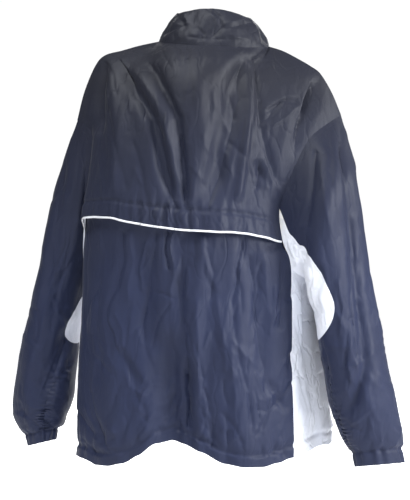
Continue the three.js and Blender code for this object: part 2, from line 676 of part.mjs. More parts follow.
function sleeve(side) {
  const rows = [...GUSSET_ROWS, GUSSET_END, 3.8, 4.4, 5, 5.6, 6.2, 6.8, 7.4, 7.8, 8, 8.4, CUFF_ROW];
  const facing = side === 'left' ? -1 : 1;
  const pointAt = (u, v) => sleevePoint(side, sleevePanelAngle(u, v), v);
  return cloth(`sleeve_${side}`, 'navy', withMiddles(sleeveColumns()), rows, pointAt, facing, {
    straightTop: true,
    left: (v) => sleeveOut(side, sleevePanelAngle(0, v), v),
    right: (v) => sleeveOut(side, sleevePanelAngle(1, v), v),
    top: (u) => armholeOut(side, sleevePanelAngle(u, 0)),
  });
}

function gusset(side) {
  const facing = side === 'left' ? -1 : 1;
  const angleAt = (q, v) => Math.PI + gussetHalf(v) * mix(-1, 1, q);
  const pointAt = (q, v) => sleevePoint(side, angleAt(q, v), v);
  return cloth(`sleeve_gusset_${side}`, 'white', gussetColumns(), GUSSET_ROWS, pointAt, facing, {
    left: (v) => sleeveOut(side, angleAt(0, v), v),
    right: (v) => sleeveOut(side, angleAt(1, v), v),
    top: (q) => armholeOut(side, angleAt(q, 0)),
  });
}

// The stand collar leans in towards its top and sags into soft creases.
function collarPoint(angle, v) {
  const base = carryToDepth(neckEdge(angle));
  const forward = Math.max(0, Math.sin(angle));
  const rise = COLLAR_HEIGHT * (1 - 0.26 * Math.cos(angle) ** 2 - 0.03 * forward);
  const lean = 0.18 * v + 0.16 * v * v;
  const top = vector(base.x * (1 - lean * (1 - ease(0.9, 1, forward))), 14 + (base.y - 14) * (1 - 0.9 * lean), base.z + rise * v);
  const open = v * (1 - v) * 4;
  const crumple = open * (2.2 * Math.sin(angle * 5 + v * 2.2) + 1.4 * Math.sin(angle * 9 - v * 3 + 1));
  const out = vector(top.x, top.y - 14, 0).normalize();
  const still = 1 - ease(0.85, 0.97, forward);
  return top.addScaledVector(out, (crumple + 1.5 * open) * still);
}

function collarAngles() {
  return [
    ...steps(0.5, 1, FRONT_NECK_STEPS),
    ...steps(1, 2, BACK_NECK_STEPS).slice(1, -1),
    ...steps(2, 2.5, FRONT_NECK_STEPS),
  ].map((turn) => turn * Math.PI);
}

function collar() {
  return cloth('collar', 'navy', collarAngles(), [0, 0.2, 0.45, 0.7, 0.88, 1], collarPoint, 1, {
    top: (angle) => crestOut(neckEdge(angle)),
  });
}

// Piping is a thin covered cord sewn to the edge of the flap.
function yokePiping() {
  const sides = 6;
  const path = steps(0.006, 0.994, 44).map((u) => {
    const edge = yokePoint(u, FLAP_EDGE_ROW);
    const above = yokePoint(u, FLAP_EDGE_ROW - 0.2);
    const down = edge.clone().sub(above).normalize();
    return edge.addScaledVector(down, PIPING_RADIUS + SEAM_GAP * 0.5).addScaledVector(outward(edge), 0.2 - WALL / 2);
  });
  return cord('yoke_piping', 'white', path, PIPING_RADIUS, sides);
}

function cord(name, colour, path, radius, sides) {
  const points = path.flatMap((point, i) => {
    const along = path[Math.min(path.length - 1, i + 1)].clone().sub(path[Math.max(0, i - 1)]).normalize();
    const first = vector(0, 0, 1).cross(along).normalize();
    const second = along.clone().cross(first);
    return steps(0, 2 * Math.PI, sides).slice(0, -1).map((angle) => point.clone()
      .addScaledVector(first, radius * Math.cos(angle))
      .addScaledVector(second, radius * Math.sin(angle)));
  });
  const faces = [];
  for (let j = 0; j < path.length - 1; j += 1) {
    for (let i = 0; i < sides; i += 1) {
      const a = j * sides + i;
      const b = j * sides + (i + 1) % sides;
      faces.push(a, b, b + sides, a, b + sides, a + sides);
    }
  }
  for (let i = 1; i < sides - 1; i += 1) {
    const end = (path.length - 1) * sides;
    faces.push(0, i + 1, i, end, end + i, end + i + 1);
  }
  return meshFrom(name, colour, points, faces);
}

// The line of the zip runs up the middle of the fronts and on up the ends of the collar.
function zipLine() {
  const rows = FRONT_ROWS.filter((row) => row > 0).reverse();
  const body = rows.map((row) => frontPoint('left', 1, row).lerp(frontPoint('right', 1, row), 0.5));
  const stand = [0.2, 0.45, ZIP_TOP].map((v) => collarPoint(Math.PI / 2, v).lerp(collarPoint(2.5 * Math.PI, v), 0.5));
  return [...body, ...stand];
}

function zipStrip(name, colour, fromX, toX, outerDepth, innerDepth) {
  const line = zipLine();
  const outer = [];
  const inner = [];
  line.forEach((point, i) => {
    const along = line[Math.min(line.length - 1, i + 1)].clone().sub(line[Math.max(0, i - 1)]).normalize();
    const out = vector(1, 0, 0).cross(along).negate().normalize();
    for (const x of [fromX, toX]) {
      outer.push(point.clone().add(vector(x, 0, 0)).addScaledVector(out, outerDepth));
      inner.push(point.clone().add(vector(x, 0, 0)).addScaledVector(out, innerDepth));
    }
  });
  return solidFromGrid(name, colour, outer, inner, 2, line.length, -1);
}

// Small metal parts are drawn in their own frame: x across, y up the zip and z out from the cloth.
function zipTopFrame() {
  const line = zipLine();
  const top = line[line.length - 1];
  const up = top.clone().sub(line[line.length - 2]).normalize();
  const across = vector(1, 0, 0);
  const out = up.clone().cross(across).normalize();
  return new THREE.Matrix4().makeBasis(across.clone().negate(), up, out).setPosition(top);
}

function roundedOutline(width, length, radius) {
  const shape = new THREE.Shape();
  const x = width / 2;
  const y = length / 2;
  shape.moveTo(-x + radius, -y);
  shape.lineTo(x - radius, -y);
  shape.quadraticCurveTo(x, -y, x, -y + radius);
  shape.lineTo(x, y - radius);
  shape.quadraticCurveTo(x, y, x - radius, y);
  shape.lineTo(-x + radius, y);
  shape.quadraticCurveTo(-x, y, -x, y - radius);
  shape.lineTo(-x, -y + radius);
  shape.quadraticCurveTo(-x, -y, -x + radius, -y);
  return shape;
}

function plate(shape, thickness, x, y, z) {
  const geometry = new THREE.ExtrudeGeometry(shape, { depth: thickness, bevelEnabled: false, curveSegments: 4 });
  return geometry.translate(x, y, z);
}

function solidOf(geometry) {
  geometry.deleteAttribute('normal');
  geometry.deleteAttribute('uv');
  const merged = mergeVertices(geometry, 1e-4);
  const vertProperties = Float32Array.from(merged.attributes.position.array);
  return new solids.Manifold(new solids.Mesh({
    numProp: 3,
    vertProperties,
    triVerts: Uint32Array.from(merged.index.array),
  }));
}

function joinedMesh(name, colour, geometries) {
  const joined = geometries.map(solidOf).reduce((whole, next) => whole.add(next));
  const result = joined.getMesh();
  const geometry = new THREE.BufferGeometry();
  geometry.setAttribute('position', new THREE.Float32BufferAttribute(Array.from(result.vertProperties), 3));
  geometry.setIndex(Array.from(result.triVerts));
  geometry.computeVertexNormals();
  const material = new THREE.MeshStandardMaterial({ color: COLOURS[colour], roughness: 0.35, metalness: 0.9 });
  material.name = colour;
  const mesh = new THREE.Mesh(geometry, material);
  mesh.name = name;
  mesh.applyMatrix4(zipTopFrame());
  return mesh;
}

const SLIDER_LENGTH = 11.5;
const SLIDER_WIDTH = 9;
const SLIDER_PLATE = 1.5;
const SLIDER_TOP = 0.35;
const SLIDER_FLOOR = -4.8;
const HINGE_UP = -2;
const HINGE_OUT = 2.9;
const TAB_LENGTH = 25;
const TAB_WIDTH = 6.2;
const TAB_THICKNESS = 1.1;

function zipSlider() {
  const middle = -7 + SLIDER_LENGTH / 2;
  const outline = roundedOutline(SLIDER_WIDTH, SLIDER_LENGTH, 2);
  const height = SLIDER_TOP - SLIDER_FLOOR;
  const bridge = new THREE.BoxGeometry(3.6, 3, height + SLIDER_PLATE).translate(0, 2.6, SLIDER_FLOOR + height / 2);
  const arch = new THREE.Shape();
  arch.moveTo(-5.4, 0);
  arch.lineTo(-5.4, 2.4);
  arch.quadraticCurveTo(-5.4, 4.4, -3.4, 4.4);
  arch.lineTo(-0.6, 4.4);
  arch.quadraticCurveTo(1.4, 4.4, 1.4, 2.4);
  arch.lineTo(1.4, 0);
  arch.lineTo(0.2, 0);
  arch.lineTo(0.2, 3.2);
  arch.lineTo(-4.2, 3.2);
  arch.lineTo(-4.2, 0);
  const bail = new THREE.ExtrudeGeometry(arch, { depth: 1.4, bevelEnabled: false, curveSegments: 5 });
  bail.rotateX(Math.PI / 2).rotateZ(Math.PI / 2).translate(-0.7, 0, SLIDER_TOP + 0.8);
  return joinedMesh('zip_slider', 'metal', [
    plate(outline, SLIDER_PLATE, 0, middle, SLIDER_TOP),
    plate(outline, SLIDER_PLATE, 0, middle, SLIDER_FLOOR - SLIDER_PLATE),
    bridge,
    bail,
  ]);
}

function zipPullTab() {
  const outline = roundedOutline(TAB_WIDTH, TAB_LENGTH, 2);
  const hole = new THREE.Path();
  const low = TAB_LENGTH / 2 - 5.2;
  const high = TAB_LENGTH / 2 - TAB_THICKNESS;
  hole.moveTo(-1.3, low);
  hole.lineTo(-1.3, high);
  hole.lineTo(1.3, high);
  hole.lineTo(1.3, low);
  outline.holes.push(hole);
  const centre = HINGE_UP + TAB_THICKNESS / 2 - TAB_LENGTH / 2;
  return joinedMesh('zip_pull_tab', 'metal', [
    plate(outline, TAB_THICKNESS, 0, centre, HINGE_OUT - TAB_THICKNESS / 2),
  ]);
}

const jacket = new THREE.Group();
jacket.name = 'windbreaker_jacket';
jacket.add(
  backYoke(),
  yokePiping(),
  backLower(),
  sidePanel('left'),
  sidePanel('right'),
  front('left'),
  front('right'),
  sleeve('left'),
  sleeve('right'),
  gusset('left'),
  gusset('right'),
  collar(),
  zipStrip('zip_tape_left', 'navy', -9.5, -2.9, -2.7, -3.7),
  zipStrip('zip_tape_right', 'navy', 2.9, 9.5, -2.7, -3.7),
  zipStrip('zip_chain', 'metal', -2.6, 2.6, -1.7, -4.4),
  zipSlider(),
  zipPullTab(),
);

export default jacket;
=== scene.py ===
"""A zip-front windbreaker hanging filled out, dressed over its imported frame.

Lengths are worked out in millimetres and written to the meshes in metres. The back
faces -Y, the wearer's right is +X and up is +Z. Cloth is a thin shell on the form of
its solid, with finer creases, casings, stitching and finishes laid over it.
"""

import logging
import math
from dataclasses import dataclass
from enum import Enum
from functools import partial
from typing import Any, Callable, Optional, Sequence, Union

import bpy
import numpy as np
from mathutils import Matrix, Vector


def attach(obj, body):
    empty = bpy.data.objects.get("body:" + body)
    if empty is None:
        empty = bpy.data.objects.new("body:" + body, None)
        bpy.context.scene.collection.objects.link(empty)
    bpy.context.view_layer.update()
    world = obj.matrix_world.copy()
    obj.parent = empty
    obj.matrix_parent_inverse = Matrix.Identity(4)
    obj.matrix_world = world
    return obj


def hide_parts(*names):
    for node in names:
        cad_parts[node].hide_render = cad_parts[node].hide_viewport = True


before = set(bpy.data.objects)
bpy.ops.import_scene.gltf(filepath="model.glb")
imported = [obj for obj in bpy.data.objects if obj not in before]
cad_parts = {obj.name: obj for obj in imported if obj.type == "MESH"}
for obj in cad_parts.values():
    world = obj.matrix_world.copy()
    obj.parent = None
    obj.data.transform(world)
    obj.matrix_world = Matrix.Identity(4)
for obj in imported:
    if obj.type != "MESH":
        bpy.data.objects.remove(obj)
log = logging.getLogger("jacket")

Array = np.ndarray
Places = Union[float, np.ndarray]
Surface = Callable[[Array, Array], Array]
Piece = bpy.types.Object

MM = 0.001
BODY = "jacket"

# Sizes in millimetres. The piping's curl reaches from the first width to the second.
SHELL_THICKNESS = 0.7
COLLAR_THICKNESS = 1.4
TAPE_THICKNESS = 0.8
FLAP_LIFT = 9.0
PIPING_RADIUS = 1.9
CURL_REACH = (-224.0, -237.0)
COLLAR_HEIGHT = 72.0
ZIP_OPENING = 7.0
SIGHT_DISTANCE = 2400.0
EYE_HEIGHT = -380.0
HEM_HEIGHT = -762.0
NECK_MIDDLE = 14.0
BODY_MIDDLE = -20.0

# The middle of the neck in the photograph, in pixels across and down, and the real
# size of one pixel at its depth.
NECK_PIXEL = (214.0, 44.0)
PIXEL_SIZE = 1.85

# Rows down the body from its top edge. Over the release rows, the folds that fade
# at a seam higher up begin to run on past it.
LOWER_BACK_TOP_ROW = 5.3
FLAP_CASING_ROW = 5.45
FLAP_EDGE_ROW = 6.0
SEAM_RELEASE_ROWS = (7.0, 8.4)
UNDERARM_ROW = 7.5
CASING_ROW = 12.0
HEM_ROW = 13.0

# Rows down a sleeve from the armhole.
GUSSET_END = 3.35
CUFF_CASING_ROW = 8.0
CUFF_ROW = 9.0

# Places along a top edge, from 0 to 1, and how much further it softens at each row.
NECK_START = 0.31
NECK_END = 0.71
FRONT_NECK_START = 0.6
CREST_SPREAD = 0.02


class Side(Enum):
    """The wearer's side that a piece belongs to."""

    LEFT = "left"
    RIGHT = "right"

    @property
    def out(self) -> float:
        """Which way is away from the middle: -1 on the left, 1 on the right."""
        return -1.0 if self is Side.LEFT else 1.0


def table(names: str, rows: Sequence[tuple[float, ...]]) -> dict[str, Array]:
    """Named columns of a short table.

    Args:
        names: The column names, with spaces between them.
        rows: One tuple of numbers for each row.

    Returns:
        Each column as an array under its name.
    """
    return dict(zip(names.split(), np.array(rows, float).T))


# Rows of the back from its top edge down: both ends of each row, how full the row is
# (0 straight, 1 full), and how much of the top edge's rise and fall it keeps.
BACK_ROWS = table(
    "leftX leftY leftZ rightX rightY rightZ belly lift",
    [
        (-253, 10, -141, 235, -14, -131, 0, 1),
        (-239, -8, -151, 206, -30, -150, 0.22, 0.93),
        (-226, -18, -164, 178, -44, -173, 0.42, 0.8),
        (-225, -22, -196, 158, -52, -208, 0.62, 0.6),
        (-230, -19, -242, 138, -58, -255, 0.78, 0.39),
        (-236, -11, -285, 121, -61, -305, 0.9, 0.18),
        (-238, -2, -322, 127, -64, -364, 0.97, 0.04),
        (-241, 8, -385, 140, -65, -398, 1, 0),
        (-243, 14, -446, 144, -66, -442, 1, 0),
        (-246, 16, -520, 144, -67, -520, 0.98, 0),
        (-250, 16, -600, 144, -68, -600, 0.98, 0),
        (-252, 16, -672, 146, -69, -672, 1, 0),
        (-252, 16, -739, 148, -69, -742, 1, 0),
        (-254, 16, -762, 149, -70, -765, 0.98, 0),
    ],
)
# Rows of the fronts: the side ends, the middle at the zip, fullness and rise as above.
FRONT_ROWS = table(
    "leftX leftY leftZ midX midY midZ rightX rightY rightZ belly lift",
    [
        (-253, 10, -141, 0, 80, -66, 235, -14, -131, 0, 1),
        (-240, 28, -152, 0, 88, -92, 232, 8, -148, 0.3, 0.88),
        (-222, 44, -170, 1, 103, -132, 218, 24, -172, 0.62, 0.72),
        (-208, 58, -205, 2, 110, -180, 204, 34, -208, 0.8, 0.52),
        (-200, 70, -255, 3, 113, -230, 193, 40, -255, 0.92, 0.33),
        (-197, 78, -310, 4, 112, -290, 186, 42, -306, 0.95, 0.16),
        (-197, 84, -355, 5, 114, -345, 186, 42, -362, 1, 0.04),
        (-198, 87, -400, 6, 115, -400, 190, 41, -400, 1, 0),
        (-199, 89, -446, 7, 115, -446, 194, 40, -442, 1, 0),
        (-200, 90, -520, 8, 114, -520, 198, 40, -520, 1, 0),
        (-202, 91, -600, 9, 112, -600, 206, 40, -600, 1, 0),
        (-204, 91, -664, 11, 110, -652, 213, 40, -664, 1, 0),
        (-206, 90, -719, 12, 108, -703, 218, 38, -712, 1, 0),
        (-206, 88, -742, 12, 106, -726, 218, 37, -735, 1, 0),
    ],
)
# Each shoulder line, from the sleeve seam to the neck.
SHOULDER_LINES = {
    Side.LEFT: table(
        "x y z",
        [
            (-253, 10, -141), (-240, 9, -89), (-220, 8, -41), (-202, 7, -21), (-170, 8, -12),
            (-138, 11, -3), (-102, 14, 4.6),
        ],
    ),
    Side.RIGHT: table(
        "x y z",
        [
            (235, -14, -131), (218, -13, -90), (197, -10, -55), (179, -7, -41), (157, -2, -28),
            (128, 7, -13), (102, 14, -4.6),
        ],
    ),
}
# Height of the hem around the back and the right side, read along x.
HEM_LINE = table(
    "x z",
    [
        (-262, -758), (-237, -768), (-216, -778), (-190, -780), (-166, -775), (-140, -760),
        (-113, -738), (-83, -731), (-58, -738), (-24, -753), (17, -774), (52, -781),
        (88, -780), (118, -772), (149, -762), (170, -757), (190, -755), (209, -744),
        (226, -724),
    ],
)
# How far the flap's edge rises above a straight line.
FLAP_RISE = table(
    "x z",
    [
        (-238, 0), (-211, 5), (-185, 7), (-155, 3), (-115, 1), (-63, 1), (0, 5), (30, 8),
        (57, 8), (85, 5), (115, 0),
    ],
)
# Rings down each sleeve: its middle, its half width and half depth, the turn and rise
# of its width, and the twist that carries the cloth round it, as each sleeve hangs
# turned. Turns and twists are in degrees.
SLEEVE_ROWS = {
    Side.LEFT: table(
        "x y z wide deep turn rise twist",
        [
            (-258, 66, -345, 22, 74, 155, 105, -44),
            (-275, 74, -438, 35, 80, 152, 42, -36),
            (-292, 72, -510, 42, 78, 156, 22, -14),
            (-306, 68, -585, 50, 72, 160, 10, 22),
            (-314, 62, -640, 55, 66, 166, 4, 62),
            (-321, 56, -682, 50, 60, 172, 0, 72),
            (-320, 50, -706, 42, 54, 178, -3, 76),
            (-319, 46, -717, 32, 48, 180, -6, 78),
            (-318, 44, -737, 26, 44, 180, -6, 80),
        ],
    ),
    Side.RIGHT: table(
        "x y z wide deep turn rise twist",
        [
            (219, -50, -345, 42, 72, -32, 108, 25),
            (228, -49, -420, 47, 80, -32, 72, 50),
            (243, -52, -500, 51, 72, -25, 40, 60),
            (256, -54, -570, 55, 66, -15, 22, 50),
            (270, -56, -640, 60, 58, -8, 12, 36),
            (284, -56, -695, 58, 50, 0, 8, 26),
            (295, -56, -733, 54, 42, 5, 5, 20),
            (301, -56, -752, 47, 36, 5, 4, 20),
            (307, -56, -778, 46, 34, 5, 4, 20),
        ],
    ),
}
# How far the underarm gusset reaches round the sleeve on each side, in degrees.
GUSSET_REACH = table(
    "at degrees",
    [
        (0, 84), (0.3, 66), (0.6, 52), (1.2, 42), (2, 46), (2.5, 50), (3, 57), (3.35, 60),
    ],
)
# Main folds of the back: three points on the line as seen, half width, and depth,
# which is less than 0 for a trough.
BACK_FOLDS = table(
    "x0 z0 x1 z1 x2 z2 width depth",
    [
        (-178, -35, -115, -137, -78, -285, 10, -9),
        (-142, -42, -92, -130, -68, -250, 11, 6),
        (-120, -39, -67, -137, -55, -285, 9, -8),
        (54, -24, 20, -161, -13, -285, 18, -10),
        (66, -36, 66, -130, 43, -290, 9, 8),
        (77, -30, 90, -172, 118, -262, 7, -6),
        (102, -126, 137, -102, 152, -108, 6, -5),
        (80, -222, 87, -238, 97, -256, 8, -6),
        (203, -55, 178, -128, 160, -200, 13, -24),
        (-209, -32, -216, -92, -214, -160, 11, -15),
        (-186, -60, -176, -150, -182, -270, 16, 7),
        (-30, -60, -26, -160, -34, -280, 20, 6),
        (-196, -420, -188, -560, -190, -790, 30, 10),
        (-90, -560, -84, -680, -82, -790, 30, -26),
        (-50, -590, -47, -680, -44, -770, 10, -9),
        (20, -500, 48, -650, 60, -800, 40, 12),
        (-140, -360, -128, -450, -120, -560, 18, -7),
        (-20, -370, -34, -480, -40, -600, 20, 7),
        (66, -380, 82, -480, 90, -600, 17, -6),
        (-170, -568, -152, -606, -137, -640, 9, -5),
        (-216, -684, -208, -702, -196, -722, 9, -6),
        (102, -625, 116, -648, 130, -672, 9, -6),
        (118, -735, 130, -752, 142, -770, 8, -5),
        (176, -470, 172, -560, 190, -640, 11, -8),
        (182, -640, 196, -690, 190, -745, 11, -7),
        (236, -180, 248, -330, 256, -480, 11, -12),
        (256, -480, 266, -590, 238, -668, 11, -11),
        (180, -410, 184, -432, 176, -470, 9, -8),
        (282, -300, 296, -420, 312, -540, 16, 6),
        (-276, -240, -290, -340, -312, -450, 14, -6),
        (-268, -520, -290, -575, -322, -655, 13, -9),
        (-330, -560, -345, -610, -350, -670, 12, 5),
    ],
)
# Main folds of the fronts, of the same kind.
FRONT_FOLDS = table(
    "x0 z0 x1 z1 x2 z2 width depth",
    [
        (-190, -60, -160, -170, -150, -300, 16, -9),
        (-110, -60, -96, -180, -104, -330, 14, 7),
        (170, -70, 150, -180, 140, -310, 15, -10),
        (105, -70, 92, -200, 96, -340, 14, 7),
        (-150, -380, -140, -560, -132, -790, 28, -12),
        (-80, -440, -76, -600, -84, -790, 26, 9),
        (150, -390, 142, -560, 150, -790, 26, -11),
        (84, -430, 78, -600, 88, -790, 24, 9),
        (-290, -260, -306, -420, -330, -560, 14, -8),
        (262, -240, 284, -400, 300, -560, 14, -8),
        (290, -560, 302, -620, 320, -680, 12, -7),
        (-318, -580, -330, -620, -345, -665, 12, -7),
    ],
)
# Finer creases of the cloth, narrower and sharper than the folds, as read off the
# photograph: three points on the line in its pixels, across and down from its top
# left corner, and the half width and depth in millimetres.
CREASES_READ = table(
    "across0 down0 across1 down1 across2 down2 width depth",
    [
        (117, 59, 137, 100, 150, 122, 4, -2),
        (150, 122, 157, 165, 175, 207, 3, -2.6),
        (122, 60, 134, 82, 139, 104, 5, 1.5),
        (157, 64, 172, 105, 178, 135, 4, -1.5),
        (180, 135, 184, 165, 185, 208, 3, -2.2),
        (165, 120, 172, 150, 181, 190, 6, 2),
        (243, 62, 237, 110, 228, 150, 5, -2.5),
        (228, 150, 219, 180, 209, 208, 6, -2.5),
        (253, 62, 257, 100, 260, 124, 2.5, 1.8),
        (260, 124, 267, 160, 279, 196, 3, 1.6),
        (249, 70, 251, 110, 250, 150, 3, -1.2),
        (262, 70, 275, 66, 290, 72, 5, -1.2),
        (262, 125, 285, 101, 297, 98, 4, -2.2),
        (270, 128, 290, 112, 300, 104, 4, 1.8),
        (258, 160, 262, 172, 256, 190, 4, -2.5),
        (268, 165, 272, 180, 270, 200, 4, 1.4),
        (110, 107, 117, 140, 127, 190, 5, -1.6),
        (98, 120, 100, 160, 104, 196, 5, 1.2),
        (132, 140, 140, 170, 146, 200, 5, -1.4),
        (104, 62, 113, 75, 118, 95, 4, -1.5),
        (175, 46, 180, 54, 182, 66, 3, -1.8),
        (186, 48, 189, 55, 186, 64, 2.5, -1.5),
        (201, 49, 202, 56, 199, 66, 2.5, -1.4),
        (160, 46, 164, 56, 170, 68, 3, -1),
        (214, 49, 216, 58, 214, 70, 3, -0.8),
        (322, 72, 316, 92, 310, 112, 3.5, -3.5),
        (305, 118, 299, 140, 294, 162, 3, -3.5),
        (312, 80, 303, 98, 300, 118, 6, 2.2),
        (313, 66, 318, 74, 321, 80, 3, -2),
        (306, 140, 303, 150, 299, 158, 2, -1.5),
        (195, 140, 196, 170, 194, 200, 6, 1),
        (214, 90, 212, 130, 204, 170, 7, 1.2),
        (121, 232, 123, 262, 118, 290, 5, -3),
        (118, 290, 111, 312, 118, 345, 4, -2.2),
        (118, 345, 132, 378, 146, 424, 5, -2),
        (128, 232, 132, 262, 128, 300, 6, 2),
        (155, 232, 152, 262, 147, 300, 5, -3.2),
        (147, 300, 141, 320, 143, 342, 4, -2.2),
        (166, 230, 165, 252, 168, 270, 3, -3.6),
        (172, 232, 172, 255, 174, 275, 3, 1.8),
        (181, 235, 180, 262, 181, 292, 6, -3),
        (181, 292, 185, 330, 187, 370, 6, -3.5),
        (187, 370, 188, 400, 186, 440, 4.5, -4.5),
        (196, 300, 199, 340, 198, 400, 7, 2.5),
        (200, 235, 206, 262, 216, 290, 8, 2),
        (245, 240, 238, 270, 232, 302, 6, -3),
        (232, 302, 234, 335, 238, 365, 5, -2),
        (238, 365, 246, 390, 252, 420, 5, -2),
        (216, 300, 222, 340, 232, 380, 8, 2.2),
        (251, 258, 255, 295, 258, 335, 4, -2),
        (258, 335, 264, 365, 266, 392, 4, -1.6),
        (263, 255, 268, 300, 272, 340, 6, 1.6),
        (280, 255, 283, 290, 281, 330, 5, -2.6),
        (257, 405, 268, 407, 279, 400, 2.5, -2.2),
        (279, 400, 286, 392, 292, 381, 3, -2.5),
        (258, 398, 268, 399, 280, 389, 4, 2),
        (114, 317, 121, 352, 130, 385, 3, 2),
        (130, 385, 138, 392, 145, 398, 3, 1.2),
        (92, 390, 98, 412, 103, 428, 2.5, -2.2),
        (103, 428, 108, 436, 115, 442, 2, -2),
        (78, 410, 86, 420, 97, 430, 4, -2.6),
        (86, 402, 92, 415, 100, 424, 3, 2),
        (82, 436, 90, 442, 100, 446, 3, -1.6),
        (155, 292, 166, 294, 175, 300, 2.5, -1.8),
        (150, 348, 158, 322, 172, 303, 3, -1.8),
        (143, 390, 150, 386, 156, 387, 2, 1.2),
        (137, 392, 141, 384, 144, 376, 1.8, 1),
        (163, 430, 166, 414, 172, 398, 3, -1.8),
        (174, 436, 176, 420, 180, 404, 3, 1.4),
        (200, 446, 204, 428, 203, 410, 4, -1.6),
        (212, 455, 214, 438, 212, 420, 3, -1.4),
        (224, 460, 226, 440, 225, 424, 4, -1.6),
        (240, 462, 242, 444, 238, 430, 4, -1.2),
        (262, 462, 262, 446, 258, 432, 4, -1.2),
        (275, 456, 276, 440, 280, 428, 3, -1.5),
        (285, 452, 284, 444, 288, 436, 3, -1.2),
        (108, 452, 112, 438, 118, 428, 4, -1.5),
        (128, 456, 134, 442, 146, 430, 4, -1.4),
        (146, 446, 152, 436, 160, 428, 3, -1.3),
        (88, 250, 87, 300, 86, 350, 6, -1.5),
        (96, 300, 97, 350, 95, 400, 7, 1.3),
        (102, 260, 100, 320, 104, 380, 6, -1.2),
        (295, 275, 305, 292, 309, 315, 4, -2.5),
        (300, 300, 303, 330, 300, 360, 5, 1.5),
        (292, 352, 299, 375, 306, 402, 3, -2),
        (306, 402, 309, 412, 305, 432, 3, -1.6),
        (312, 340, 318, 365, 322, 395, 5, -2),
        (322, 395, 326, 418, 324, 436, 3, -1.8),
        (330, 380, 334, 405, 333, 430, 3, 1.4),
        (298, 420, 302, 436, 300, 446, 2.5, -1.2),
        (310, 436, 312, 444, 311, 449, 2, -1),
        (310, 265, 311, 273, 307, 289, 2.5, -2),
        (287, 228, 291, 247, 297, 266, 3, 1.5),
        (307, 289, 310, 305, 316, 322, 3, -1.8),
        (318, 290, 325, 310, 326, 326, 5, 1.2),
        (339, 118, 346, 173, 350, 251, 4, -3),
        (350, 251, 352, 302, 357, 360, 3.5, -3.4),
        (345, 130, 352, 190, 357, 260, 4, 2),
        (328, 140, 333, 190, 338, 240, 5, -1.6),
        (316, 150, 314, 190, 306, 225, 4, -2.4),
        (322, 160, 325, 200, 332, 240, 5, 1.5),
        (357, 360, 366, 400, 372, 430, 5, 1.6),
        (349, 318, 346, 350, 344, 380, 4, -2),
        (330, 345, 343, 350, 352, 345, 4, 1.5),
        (340, 401, 338, 412, 338, 422, 3, -2),
        (360, 300, 368, 350, 380, 400, 7, -1.6),
        (372, 400, 380, 425, 384, 445, 5, 1.4),
        (346, 388, 352, 410, 354, 440, 3, 1.4),
        (362, 440, 366, 425, 370, 412, 3, -1.2),
        (385, 445, 384, 430, 386, 415, 3, -1.2),
        (70, 328, 64, 350, 52, 380, 2.5, -2),
        (83, 130, 76, 190, 68, 250, 5, -1.6),
        (74, 125, 68, 170, 62, 210, 4, 1.2),
        (90, 140, 86, 180, 84, 230, 4, -2),
        (68, 250, 58, 290, 50, 330, 6, -1.8),
        (56, 260, 48, 300, 38, 345, 5, 1.5),
        (60, 345, 48, 372, 38, 400, 4, 1.8),
        (40, 350, 32, 385, 24, 415, 5, -1.8),
        (30, 415, 36, 425, 44, 432, 3, -1.5),
        (20, 400, 24, 415, 24, 428, 3, -1.2),
    ],
)
# Areas of scattered creases: their limits, lean and sway in degrees, length and number.
CREASE_AREAS = table(
    "x0 x1 z0 z1 lean sway length many",
    [
        (-225, 115, -360, -560, -2, 12, 80, 34),
        (-225, 115, -540, -735, 6, 20, 60, 44),
        (-200, 130, -60, -270, 8, 16, 70, 22),
        (-225, 115, -700, -745, 10, 35, 26, 30),
        (225, 340, -200, -560, 10, 9, 90, 16),
        (240, 345, -520, -750, 4, 28, 55, 26),
        (-330, -255, -150, -500, -12, 12, 80, 16),
        (-360, -270, -480, -730, 28, 30, 48, 34),
        (120, 215, -400, -740, 2, 24, 50, 22),
    ],
)
# Creases of the collar, of the same kind.
COLLAR_CREASES = table(
    "x0 z0 x1 z1 x2 z2 width depth",
    [
        (-13, 67, 11, 50, 15, 31, 4, -2.2),
        (15, 31, 4, 20, -9, 11, 3.5, -1.8),
        (-7, 62, 4, 48, 6, 33, 4, 1.5),
        (15, 26, 48, 35, 76, 41, 4, -1.6),
        (18, 36, 44, 46, 70, 50, 5, 1.6),
        (-68, 54, -55, 35, -96, 17, 5, -3),
        (-54, 60, -48, 40, -72, 22, 4, 1.8),
        (76, 50, 89, 22, 98, 4, 5, -3.5),
        (68, 46, 78, 26, 84, 8, 4, 2),
        (-30, 30, -20, 18, -26, 8, 4, -1.4),
        (30, 18, 38, 12, 60, 9, 4, 1.3),
        (-44, 14, -10, 9, 30, 8, 3, -1.2),
    ],
)


# ------------------------------------------------------------------ curves and fields


def ease(low: float, high: float, value: Array) -> Array:
    """Rise smoothly from 0 at low to 1 at high: 3t^2 - 2t^3."""
    t = np.clip((np.asarray(value, float) - low) / (high - low), 0.0, 1.0)
    return t * t * (3.0 - 2.0 * t)


def bell(value: Array, middle: float, spread: float) -> Array:
    """A hump of height 1 at middle: e to the minus square of the distance over spread."""
    return np.exp(-(((np.asarray(value, float) - middle) / spread) ** 2))


def vec(*parts: Any) -> Array:
    """Stack three coordinates, broadcast together, along a last axis."""
    return np.stack(np.broadcast_arrays(*[np.asarray(p, float) for p in parts]), axis=-1)


def unit(v: Array) -> Array:
    """Scale vectors to length 1."""
    return v / np.maximum(np.linalg.norm(v, axis=-1, keepdims=True), 1e-9)


def hermite(start: Array, leave: Array, end: Array, arrive: Array, t: Array) -> Array:
    """The cubic that leaves start along one vector and reaches end along another."""
    t = np.asarray(t, float)[..., None]
    t2, t3 = t * t, t * t * t
    return (
        start * (2 * t3 - 3 * t2 + 1)
        + leave * (t3 - 2 * t2 + t)
        + end * (3 * t2 - 2 * t3)
        + arrive * (t3 - t2)
    )


